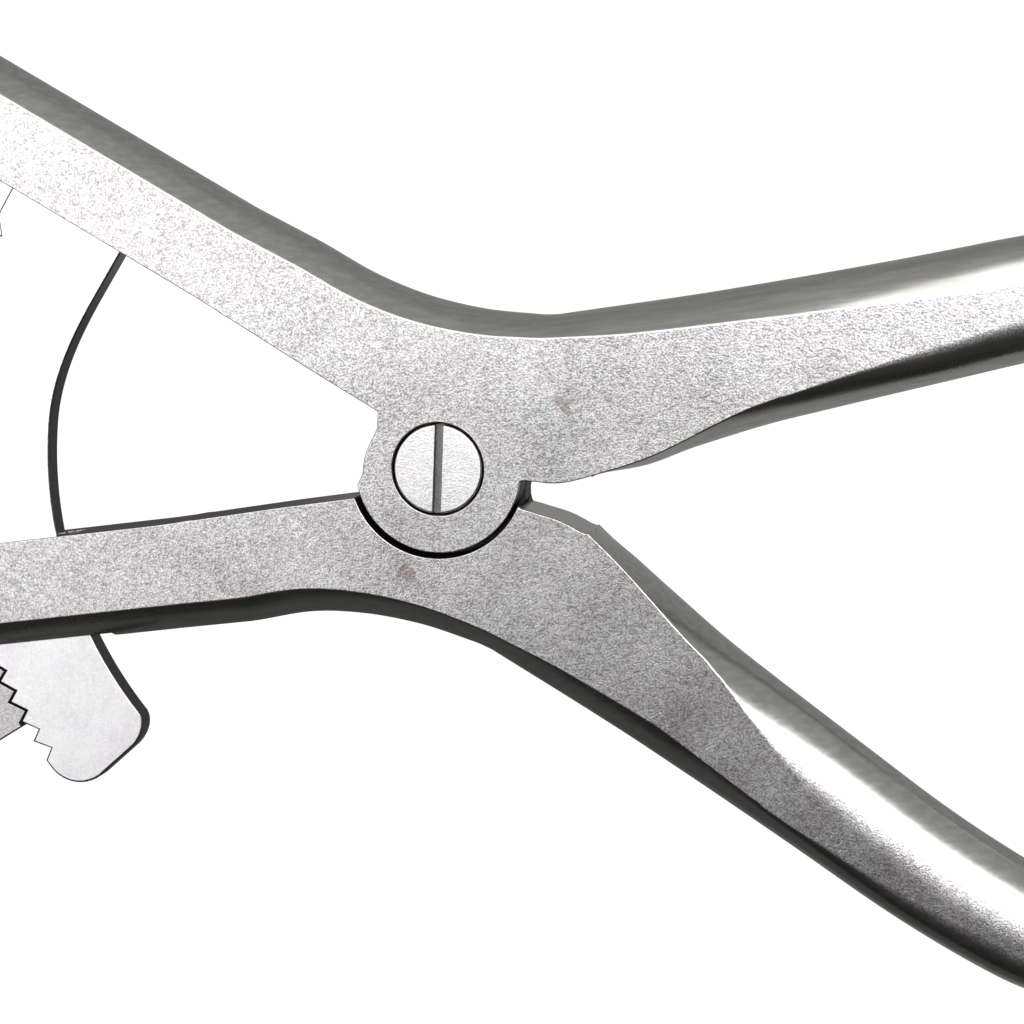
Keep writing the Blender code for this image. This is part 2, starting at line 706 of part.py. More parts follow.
def spring_seat():
    """How far out from the handle's middle line the flat seat of the leaf spring is."""
    return LOWER_HANDLE_WIDTH - UPPER_HANDLE_WIDTH / 2 + HANDLE_BULGE - 0.9 * MM


def spring_seat_cutter(cutters):
    frame = SPRING_FRAME
    corners = [frame.place(-4 * MM, spring_seat()), frame.place(3.2 * MM, spring_seat()),
               frame.place(4.4 * MM, spring_seat() + 4 * MM), frame.place(-5.2 * MM, spring_seat() + 4 * MM)]
    return plate("spring_seat_cut", mirrored(corners), -OVERSHOOT, THICKNESS + OVERSHOOT, cutters)


def radial_matrix(out):
    """A frame with its Z axis pointing out of the handle at the spring screw, on the lower side."""
    frame = SPRING_FRAME
    place = frame.place(0, out)
    outward = Vector((frame.outward.x, -frame.outward.y, 0.0))
    turn = outward.to_track_quat("Z", "Y").to_matrix().to_4x4()
    return Matrix.Translation((place.x, -place.y, MIDDLE)) @ turn


def radial_bar(name, radius, low, high, collection, material=None):
    """A round bar square to the handle's outer side at the spring screw."""
    work = bmesh.new()
    bmesh.ops.create_cone(work, cap_ends=True, segments=24, radius1=radius, radius2=radius,
                          depth=high - low, matrix=radial_matrix((low + high) / 2))
    mesh = bpy.data.meshes.new(name)
    work.to_mesh(mesh)
    work.free()
    smooth(mesh)
    return add_object(name, mesh, collection, material)


def spring_line():
    """The leaf's inner face, from its clamped end to its free end under the pawl's tail."""
    seat = SPRING_FRAME
    clamp = spring_seat() + FIT
    contact = PAWL_FRAME.place(19.5 * MM, 9.35 * MM)
    start = seat.place(2.6 * MM, clamp)
    knee = seat.place(-3.4 * MM, clamp)
    away = (contact - knee).normalized()
    lift = Vector((away.y, -away.x))
    if lift.dot(seat.outward) < 0:
        lift = -lift
    middle = (knee + contact) / 2 + 0.25 * MM * lift
    return [start, knee, middle, contact]


def pawl_spring(parts, cutters, material):
    line = spring_line()
    other = []
    for i, point in enumerate(line):
        near = line[max(i - 1, 0)]
        far = line[min(i + 1, len(line) - 1)]
        along = (far - near).normalized()
        lift = Vector((along.y, -along.x))
        if lift.dot(SPRING_FRAME.outward) < 0:
            lift = -lift
        other.append(point + SPRING_THICKNESS * lift)
    outline = mirrored(line + list(reversed(other)))
    spring = plate("pawl_spring", outline, MIDDLE - SPRING_WIDTH / 2, MIDDLE + SPRING_WIDTH / 2, parts,
                   material)
    seat = spring_seat()
    cut(spring, radial_bar("spring_hole_cut", SPRING_SCREW_RADIUS + FIT, seat - OVERSHOOT,
                           seat + 3 * MM, cutters))


def spring_screw(parts, cutters, material):
    seat = spring_seat() + FIT + SPRING_THICKNESS + FIT
    head = 0.9 * MM
    chamfer = 0.35 * MM
    tail = seat - 3.0 * MM
    profile = [(0, seat + head), (SPRING_SCREW_HEAD - chamfer, seat + head),
               (SPRING_SCREW_HEAD, seat + head - chamfer), (SPRING_SCREW_HEAD, seat),
               (SPRING_SCREW_RADIUS, seat), (SPRING_SCREW_RADIUS, tail), (0, tail)]
    screw = turned("spring_screw", profile, parts, material, sides=24)
    slot = box("spring_screw_slot_cut", (0.4 * MM, 4 * SPRING_SCREW_HEAD, 0.8 * MM),
               radial_matrix(0.0) @ Matrix.Translation((0, 0, seat + head)), cutters)
    screw.data.transform(radial_matrix(0.0))
    cut(screw, slot)


# Rubber sleeves -------------------------------------------------------------------------------------

def sleeve_sections(first, last, growth):
    """Sections of the tip, grown by an allowance, between two distances along the jaw, with a round end."""
    half = TIP_WIDTH / 2 + growth
    high = TIP_THICKNESS + 2 * growth
    flat = 0.9 * MM

    def section(distance, share=1.0):
        return path_section(JAW, distance, 1, flat * share, flat * share, (half - flat) * share,
                            (half - flat) * share, high * share)

    nose = min(half, last - first)
    steps = 4
    straight = last - nose
    sections = [section(first + (straight - first) * i / steps) for i in range(steps + 1)]
    for i in range(1, 7):
        swing = pi / 2 * i / 6.5
        sections.append(section(straight + nose * sin(swing), cos(swing)))
    return sections


def tip_sleeve(name, flipped, parts, cutters, material):
    open_end = JAW.length - SLEEVE_LENGTH
    outer = sleeve_sections(open_end, JAW.length + FIT + SLEEVE_WALL, FIT + SLEEVE_WALL)
    inner = sleeve_sections(open_end - OVERSHOOT, JAW.length + FIT, FIT)
    sleeve = loft(name, outer, parts, material)
    hollow = loft(name + "_hollow_cut", inner, cutters)
    if flipped:
        flip(sleeve.data)
        flip(hollow.data)
    cut(sleeve, hollow)


def clear_scene():
    for obj in list(bpy.data.objects):
        bpy.data.objects.remove(obj)


def main():
    clear_scene()
    parts = new_collection("mouth_gag_forceps")
    cutters = new_collection("cutters")
    satin = steel("satin_stainless", (0.56, 0.55, 0.54), 0.42)
    satin_lower = steel("satin_stainless_lower", (0.54, 0.53, 0.52), 0.42)
    screw_steel = steel("turned_stainless", (0.60, 0.59, 0.57), 0.34)
    rack_steel = steel("ground_stainless", (0.66, 0.66, 0.65), 0.30)
    pawl_steel = steel("hardened_steel", (0.38, 0.37, 0.36), 0.38)
    spring_steel = steel("spring_steel", (0.42, 0.41, 0.40), 0.28)
    black_rubber = rubber("black_rubber", (0.035, 0.035, 0.037))
    upper_lever(parts, cutters, satin)
    lower_lever(parts, cutters, satin_lower)
    pivot_screw(parts, cutters, screw_steel)
    ratchet_rack(parts, cutters, rack_steel)
    rack_pins(parts, screw_steel)
    pawl_lever(parts, cutters, pawl_steel)
    pawl_pin(parts, screw_steel)
    pawl_spring(parts, cutters, spring_steel)
    spring_screw(parts, cutters, screw_steel)
    tip_sleeve("upper_tip_sleeve", False, parts, cutters, black_rubber)
    tip_sleeve("lower_tip_sleeve", True, parts, cutters, black_rubber)


main()
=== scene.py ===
"""Ratcheted mouth gag forceps in stainless steel: the finished surfaces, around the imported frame.

Frame: the joint screw's axis is Z through the origin and the flat back is Z = 0. The jaws point to +X
and the handles to -X. The upper lever is on the +Y side; the lower lever is the same forging turned half
a turn about the X axis. Lengths are in metres and angles in degrees, unless a docstring says otherwise.
"""

import logging
from dataclasses import dataclass
from enum import Enum
from math import atan2, ceil, cos, degrees, pi, radians, sin
from typing import Callable, Iterable, Optional, Sequence, Union

import bmesh
import bpy
from mathutils import Matrix, Vector


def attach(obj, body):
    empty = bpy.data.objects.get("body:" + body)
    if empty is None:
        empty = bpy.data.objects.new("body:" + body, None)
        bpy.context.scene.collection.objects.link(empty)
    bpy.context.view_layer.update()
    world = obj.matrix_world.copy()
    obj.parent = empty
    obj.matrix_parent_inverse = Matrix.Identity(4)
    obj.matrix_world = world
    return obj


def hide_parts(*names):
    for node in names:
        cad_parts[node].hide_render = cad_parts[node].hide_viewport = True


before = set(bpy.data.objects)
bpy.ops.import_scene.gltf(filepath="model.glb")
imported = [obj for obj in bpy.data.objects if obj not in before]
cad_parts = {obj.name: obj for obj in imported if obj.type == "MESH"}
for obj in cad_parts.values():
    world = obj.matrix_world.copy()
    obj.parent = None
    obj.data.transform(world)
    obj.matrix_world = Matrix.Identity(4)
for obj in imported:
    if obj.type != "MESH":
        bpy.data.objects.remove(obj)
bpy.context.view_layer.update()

LOG = logging.getLogger("mouth_gag")
MM = 0.001
MERGE = 0.0005 * MM
OVER = 1.0 * MM
LEVEL_TOLERANCE = 0.01 * MM


class Side(Enum):
    """Which lever a shape belongs to."""

    UPPER = "upper"
    LOWER = "lower"


# Plane geometry -------------------------------------------------------------------------------------

def direction(angle: float) -> Vector:
    """The unit vector at this angle in radians from +X."""
    return Vector((cos(angle), sin(angle)))


def arc_step(length: float, heading: float, bend: float) -> Vector:
    """The way from an arc's start to its end.

    Args:
        length: length of the arc.
        heading: direction at the start, in radians.
        bend: how far it turns to the left, in radians.

    Returns:
        The vector of its chord.
    """
    chord = length * sin(bend / 2) / (bend / 2) if bend else length
    return chord * direction(heading + bend / 2)


def polar(radius: float, angle: float) -> Vector:
    """The point at this radius from the joint screw, this many degrees above -X."""
    return Vector((-radius * cos(radians(angle)), radius * sin(radians(angle))))


def polar_arc(radius: float, first: float, last: float, steps: int) -> list[Vector]:
    """Points on an arc about the joint screw, from one angle to another."""
    return [polar(radius, first + (last - first) * i / steps) for i in range(steps + 1)]


def circle_arc(centre: Sequence[float], radius: float, first: float, last: float,
               steps: int) -> list[Vector]:
    """Points on an arc about any centre, with its angles in degrees from +X."""
    angles = [radians(first + (last - first) * i / steps) for i in range(steps + 1)]
    return [Vector(centre[:2]) + radius * direction(angle) for angle in angles]


def mirrored(points: Iterable[Vector]) -> list[Vector]:
    """The same outline on the lower lever's side."""
    return [Vector((point.x, -point.y)) for point in points]


def ease(value: float, first: float, last: float) -> float:
    """0 before first, 1 after last, and smooth between."""
    part = min(max((value - first) / (last - first), 0.0), 1.0)
    return part * part * (3 - 2 * part)


def quarter_turn(steps: int) -> list[float]:
    """The angles of a quarter turn in even steps, both ends included, in radians."""
    return [pi / 2 * i / steps for i in range(steps + 1)]


def rounding(steps: int) -> list[tuple[float, float]]:
    """How far a quarter round of radius 1 falls short of its corner, across and down, in even steps."""
    return [(1 - sin(swing), 1 - cos(swing)) for swing in quarter_turn(steps)]


def between(stops: Sequence[tuple[float, float]], distance: float) -> float:
    """Reads a size from a smooth curve through stops that makes no humps of its own.

    Args:
        stops: pairs of a distance and the size there, in order.
        distance: where to read; before the first stop or past the last, the size stays as it is there.

    Returns:
        The size.
    """
    place = min(max(distance, stops[0][0]), stops[-1][0])
    slopes = [(far[1] - near[1]) / (far[0] - near[0]) for near, far in zip(stops, stops[1:])]
    inner = [2 * a * b / (a + b) if a * b > 0 else 0.0 for a, b in zip(slopes, slopes[1:])]
    tangents = [slopes[0]] + inner + [slopes[-1]]
    span = max(i for i in range(len(slopes)) if stops[i][0] <= place)
    (near, size), (far, following) = stops[span], stops[span + 1]
    length = far - near
    t = (place - near) / length
    start, end = tangents[span] * length, tangents[span + 1] * length
    return (size + start * t + (3 * (following - size) - 2 * start - end) * t ** 2
            + (2 * (size - following) + start + end) * t ** 3)


def curve_through(points: Sequence[Vector], part: float) -> Vector:
    """A point on the smooth curve through these points, leaving out the first and the last.

    Args:
        points: at least four points; the end ones only set the directions at their neighbours.
        part: 0 at the second point and 1 at the last but one.

    Returns:
        The point there.
    """
    spans = len(points) - 3
    span = min(int(part * spans), spans - 1)
    t = part * spans - span
    before, start, end, after = points[span:span + 4]
    return 0.5 * (2 * start + (end - before) * t + (2 * before - 5 * start + 4 * end - after) * t ** 2
                  + (3 * start - before - 3 * end + after) * t ** 3)


class Path:
    """A line in the XY plane made of straight runs and arcs, read by the distance along it."""

    def __init__(self, start: Sequence[float], heading: float) -> None:
        """Starts at a point, heading at an angle in degrees."""
        self.runs: list[tuple[float, float, Vector, float, float]] = []
        self.end = Vector(start)
        self.heading = radians(heading)
        self.length = 0.0

    def straight(self, length: float) -> "Path":
        """Adds a straight run."""
        self.runs.append((self.length, length, self.end, self.heading, 0.0))
        self.end = self.end + length * direction(self.heading)
        self.length += length
        return self

    def arc(self, radius: float, turn: float) -> "Path":
        """Adds an arc that turns left by this many degrees, or right if negative."""
        bend = radians(turn)
        length = radius * abs(bend)
        self.runs.append((self.length, length, self.end, self.heading, bend))
        self.end = self.end + arc_step(length, self.heading, bend)
        self.heading += bend
        self.length += length
        return self

    def at(self, distance: float) -> tuple[Vector, float]:
        """The point at this distance, and the heading there in radians."""
        begin, length, start, heading, bend = self.runs[0]
        for begin, length, start, heading, bend in reversed(self.runs):
            if distance >= begin - 1e-9:
                break
        along = distance - begin
        if bend == 0.0:
            return start + along * direction(heading), heading
        part = bend * along / length
        return start + arc_step(along, heading, part), heading + part


# Driving sizes --------------------------------------------------------------------------------------

@dataclass(frozen=True)
class Forging:
    """Sizes of the two levers, which are one forging with two handle widths."""

    thickness: float = 6.6 * MM
    handle_root: tuple[float, float] = (-8.2 * MM, 8.1 * MM)
    handle_slope: float = 18.6
    handle_straight: float = 46.8 * MM
    handle_bow_radius: float = 70 * MM
    handle_bow_turn: float = 30.0
    upper_width: float = 6.2 * MM
    lower_width: float = 6.8 * MM
    root_width: float = 7.4 * MM
    handle_bulge: float = 2.4 * MM
    jaw_root: tuple[float, float] = (12.4 * MM, 8.4 * MM)
    jaw_slope: float = 25.0
    jaw_straight: float = 31.3 * MM
    jaw_bend_radius: float = 100 * MM
    jaw_bend_turn: float = 8.0
    jaw_bow_radius: float = 18 * MM
    jaw_bow_turn: float = 87.0
    jaw_heel_radius: float = 6 * MM
    tip_length: float = 16 * MM
    tip_width: float = 5.0 * MM
    tip_thickness: float = 3.8 * MM
    boss_radius: float = 6.9 * MM
    head_radius: float = 3.68 * MM
    head_depth: float = 2.2 * MM
    shank_radius: float = 2.3 * MM
    edge_radius: float = 0.09 * MM
    closed_angle: float = 2.6
    sleeve_wall: float = 1.1 * MM
    sleeve_length: float = 15 * MM
    fit: float = 0.15 * MM
    gap: float = 0.3 * MM

    @property
    def middle(self) -> float:
        """Height of the plane where the levers meet."""
        return self.thickness / 2

    def handle(self) -> Path:
        """The middle line of the upper handle, away from the joint."""
        path = Path(self.handle_root, 180 - self.handle_slope)
        return path.straight(self.handle_straight).arc(self.handle_bow_radius, self.handle_bow_turn)

    def jaw(self) -> Path:
        """The middle line of the upper jaw, whose run back brings the sleeves together when it closes."""
        path = Path(self.jaw_root, self.jaw_slope).straight(self.jaw_straight)
        path.arc(self.jaw_bend_radius, -self.jaw_bend_turn).arc(self.jaw_bow_radius, -self.jaw_bow_turn)
        heel_turn = self.closed_angle + self.jaw_bend_turn + self.jaw_bow_turn - self.jaw_slope
        heel = arc_step(self.jaw_heel_radius * radians(heel_turn), path.heading, radians(heel_turn))
        closing = Matrix.Rotation(-radians(self.closed_angle), 2)
        offset = self.tip_width / 2 + self.fit + self.sleeve_wall + self.gap / 2
        reach = (closing @ (path.end + heel)).y - offset
        run = reach / -(closing @ direction(path.heading)).y
        return path.straight(run).arc(self.jaw_heel_radius, heel_turn).straight(self.tip_length)


FORGING = Forging()
HANDLE = FORGING.handle()
JAW = FORGING.jaw()


def handle_at_radius(radius: float) -> float:
    """How far along the handle its middle line is this far from the joint screw."""
    low, high = 0.0, HANDLE.length
    for _ in range(40):
        half = (low + high) / 2
        if HANDLE.at(half)[0].length < radius:
            low = half
        else:
            high = half
    return low


class HandleFrame:
    """Places things on the upper handle: along it from the joint, and out from its middle line."""

    def __init__(self, distance: float, out: float = 0.0) -> None:
        """Stands at this distance along the handle and this far out."""
        point, heading = HANDLE.at(distance)
        self.along = direction(heading)
        self.outward = Vector((self.along.y, -self.along.x))
        self.origin = point + out * self.outward

    def place(self, along: float, out: float) -> Vector:
        """The point this far along and out from the origin."""
        return self.origin + along * self.along + out * self.outward


# Meshes ---------------------------------------------------------------------------------------------

def turn_over() -> Matrix:
    """Half a turn about X at mid-thickness, from the upper lever's side to the lower one's."""
    lift = Matrix.Translation((0, 0, FORGING.middle))
    return lift @ Matrix.Rotation(pi, 4, "X") @ lift.inverted()


def runs_level(edge: bmesh.types.BMEdge) -> bool:
    """Whether an edge is level, as those round a plate's two faces are."""
    return abs(edge.verts[0].co.z - edge.verts[1].co.z) < LEVEL_TOLERANCE


def domed_end(radius: float, dome: float) -> list[tuple[float, float]]:
    """The profile of a pin's domed end, just inside the flat back, from its middle out."""
    sunk = 0.1 * MM
    return [(radius * sin(swing), sunk + dome * (1 - cos(swing))) for swing in quarter_turn(8)]


class Shape:
    """A bmesh with the few operations that the pieces are made of."""

    def __init__(self) -> None:
        """Starts empty."""
        self.work = bmesh.new()

    def prism(self, outline: Sequence[Vector], low: float, high: float) -> "Shape":
        """Adds a flat plate.

        Args:
            outline: its corners in order.
            low: height of its lower face.
            high: height of its upper face.

        Returns:
            The shape itself.
        """
        made = bmesh.ops.create_circle(self.work, cap_ends=True, segments=len(outline), radius=1.0)
        for vertex, corner in zip(made["verts"], outline):
            vertex.co = (corner[0], corner[1], low)
        face = made["verts"][0].link_faces[0]
        raised = bmesh.ops.extrude_face_region(self.work, geom=[face])
        top = [item for item in raised["geom"] if isinstance(item, bmesh.types.BMVert)]
        bmesh.ops.translate(self.work, vec=(0, 0, high - low), verts=top)
        bmesh.ops.recalc_face_normals(self.work, faces=self.work.faces)
        return self

    def bar(self, radius: float, low: float, high: float, matrix: Matrix = Matrix.Identity(4),
            sides: int = 96) -> "Shape":
        """Adds a round bar along the Z axis of a matrix, between two heights on it."""
        place = matrix @ Matrix.Translation((0, 0, (low + high) / 2))
        bmesh.ops.create_cone(self.work, cap_ends=True, segments=sides, radius1=radius, radius2=radius,
                              depth=high - low, matrix=place)
        return self

    def block(self, size: Sequence[float], matrix: Matrix) -> "Shape":
        """Adds a box centred on a matrix."""
        bmesh.ops.create_cube(self.work, size=1.0, matrix=matrix @ Matrix.Diagonal((*size, 1.0)))
        return self

    def turned(self, profile: Sequence[tuple[float, float]], sides: int = 128) -> "Shape":
        """Adds a solid turned about Z, from pairs of a radius and a height."""
        corners = [self.work.verts.new((radius, 0.0, height)) for radius, height in profile]
        edges = [self.work.edges.new(pair) for pair in zip(corners, corners[1:])]
        bmesh.ops.spin(self.work, geom=corners + edges, cent=(0, 0, 0), axis=(0, 0, 1), angle=2 * pi,
                       steps=sides, use_merge=True)
        bmesh.ops.remove_doubles(self.work, verts=self.work.verts, dist=MERGE)
        bmesh.ops.recalc_face_normals(self.work, faces=self.work.faces)
        return self

    def loft(self, rings: Sequence[Sequence[Vector]]) -> "Shape":
        """Adds a closed solid, each ring extruded from the one before it.

        Args:
            rings: the rings in order, all with the same number of points.

        Returns:
            The shape itself.
        """
        made = bmesh.ops.create_circle(self.work, segments=len(rings[0]), radius=1.0)
        ring = made["verts"]
        for vertex, place in zip(ring, rings[0]):
            vertex.co = place
        edges = [self.work.edges.get((ring[i - 1], ring[i])) for i in range(len(ring))]
        bmesh.ops.contextual_create(self.work, geom=edges)
        for places in rings[1:]:
            drawn = bmesh.ops.extrude_edge_only(self.work, edges=edges)
            fresh = {item for item in drawn["geom"] if isinstance(item, bmesh.types.BMVert)}
            ring = [next(edge.other_vert(vertex) for edge in vertex.link_edges
                         if edge.other_vert(vertex) in fresh) for vertex in ring]
            for vertex, place in zip(ring, places):
                vertex.co = place
            edges = [self.work.edges.get((ring[i - 1], ring[i])) for i in range(len(ring))]
        bmesh.ops.contextual_create(self.work, geom=edges)
        bmesh.ops.recalc_face_normals(self.work, faces=self.work.faces)
        return self

    def turn(self, matrix: Matrix) -> "Shape":
        """Moves the whole shape."""
        bmesh.ops.transform(self.work, matrix=matrix, verts=self.work.verts)
        return self

    def merge_flats(self) -> "Shape":
        """Joins the level faces that lie in one plane, so that an edge finish runs cleanly along them."""
        bmesh.ops.remove_doubles(self.work, verts=self.work.verts, dist=MERGE)
        level = [edge for edge in self.work.edges if len(edge.link_faces) == 2
                 and all(abs(face.normal.z) > 0.99999 for face in edge.link_faces)
                 and abs(edge.link_faces[0].normal.z - edge.link_faces[1].normal.z) < 0.01]
        bmesh.ops.dissolve_edges(self.work, edges=level, use_verts=False, use_face_split=False)
        return self

    def round_edges(self, radius: float, least_angle: float = 30.0, segments: int = 2,
                    where: Optional[Callable[[bmesh.types.BMEdge], bool]] = None) -> "Shape":
        """Rounds the edges that are sharper than an angle.

        Args:
            radius: how far the rounding reaches from each edge.
            least_angle: the smallest angle between two faces that is rounded.
            segments: how many facets the rounding has.
            where: if given, only edges for which it is true.

        Returns:
            The shape itself.
        """
        sharp = [edge for edge in self.work.edges if len(edge.link_faces) == 2
                 and edge.calc_face_angle(0.0) > radians(least_angle) and (where is None or where(edge))]
        bmesh.ops.bevel(self.work, geom=sharp, offset=radius, offset_type="OFFSET", segments=segments,
                        profile=0.5, affect="EDGES", clamp_overlap=False, material=-1, loop_slide=True)
        return self

    def mesh(self, name: str) -> bpy.types.Mesh:
        """The finished mesh, smooth but for its sharp edges."""
        mesh = bpy.data.meshes.new(name)
        self.work.to_mesh(mesh)
        self.work.free()
        mesh.shade_smooth()
        mesh.set_sharp_from_angle(angle=radians(50))
        return mesh


def new_object(name: str, mesh: bpy.types.Mesh) -> bpy.types.Object:
    """Links a new object that carries a mesh."""
    obj = bpy.data.objects.new(name, mesh)
    bpy.context.scene.collection.objects.link(obj)
    return obj


def carved(body: Shape, cutters: Sequence[Shape], operation: str = "DIFFERENCE") -> Shape:
    """Cuts other shapes from a shape, or joins them to it.

    Args:
        body: the shape to work on, which is used up.
        cutters: the other shapes, which are used up too.
        operation: the Boolean operation.

    Returns:
        The result.
    """
    solid = new_object("stock", body.mesh("stock"))
    tools = []
    for cutter in cutters:
        tool = new_object("tool", cutter.mesh("tool"))
        tools.append(tool)
        modifier = solid.modifiers.new("cut", "BOOLEAN")
        modifier.operation = operation
        modifier.solver = "EXACT"
        modifier.object = tool
    graph = bpy.context.evaluated_depsgraph_get()
    mesh = bpy.data.meshes.new_from_object(solid.evaluated_get(graph))
    result = Shape()
    result.work.from_mesh(mesh)
    bpy.data.meshes.remove(mesh)
    for obj in [solid] + tools:
        bpy.data.objects.remove(obj)
    return result


def even_normals(obj: bpy.types.Object) -> None:
    """Keeps flat faces flat in the light beside their rounded edges."""
    modifier = obj.modifiers.new("even normals", "WEIGHTED_NORMAL")
    modifier.keep_sharp = True
    modifier.weight = 60


def install(name: str, shape: Shape, body: str, node: str, slot: str,
            material: bpy.types.Material) -> None:
    """Makes a finished piece of the instrument.

    Args:
        name: the piece's name.
        shape: its shape, in place.
        body: the body that it rides on.
        node: the node of the frame that it stands for.
        slot: the record's material slot; not used.
        material: its finish.
    """
    obj = new_object(name, shape.mesh(name))
    obj.data.materials.append(material)
    even_normals(obj)
    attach(obj, body)
    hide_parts(node)
    LOG.info("%s: %d faces, rides on %s", name, len(obj.data.polygons), body)


# Levers ---------------------------------------------------------------------------------------------

@dataclass(frozen=True)
class Section:
    """One cross-section of a lever.

    A side is a parabola that meets the flat at an edge where its crest is 1, and an ellipse where it is 0.5.
    """

    inner: Vector
    outer: Vector
    inner_bulge: float
    outer_bulge: float
    thickness: float = FORGING.thickness
    inner_crest: float = 1.0
    outer_crest: float = 1.0
    outer_way: Optional[Vector] = None

    def ring(self, side_steps: int = 14) -> list[Vector]:
        """The section's points, down its outer side and up its inner one."""
        across = (self.outer - self.inner).normalized()
        sides = ((self.outer, self.outer_bulge, self.outer_crest, 1, self.outer_way or across),
                 (self.inner, self.inner_bulge, self.inner_crest, -1, across))
        points = []
        for edge, bulge, crest, turn, way in sides:
            for i in range(side_steps + 1):
                lift = turn * cos(pi * i / side_steps)
                side = edge + turn * bulge * max(1 - lift * lift, 0.0) ** crest * way
                points.append(Vector((side.x, side.y, FORGING.middle + lift * self.thickness / 2)))
        return points


def scaled(points: Sequence[tuple[float, float]]) -> list[Vector]:
    """Points given in millimetres, in metres."""
    return [Vector(point) * MM for point in points]


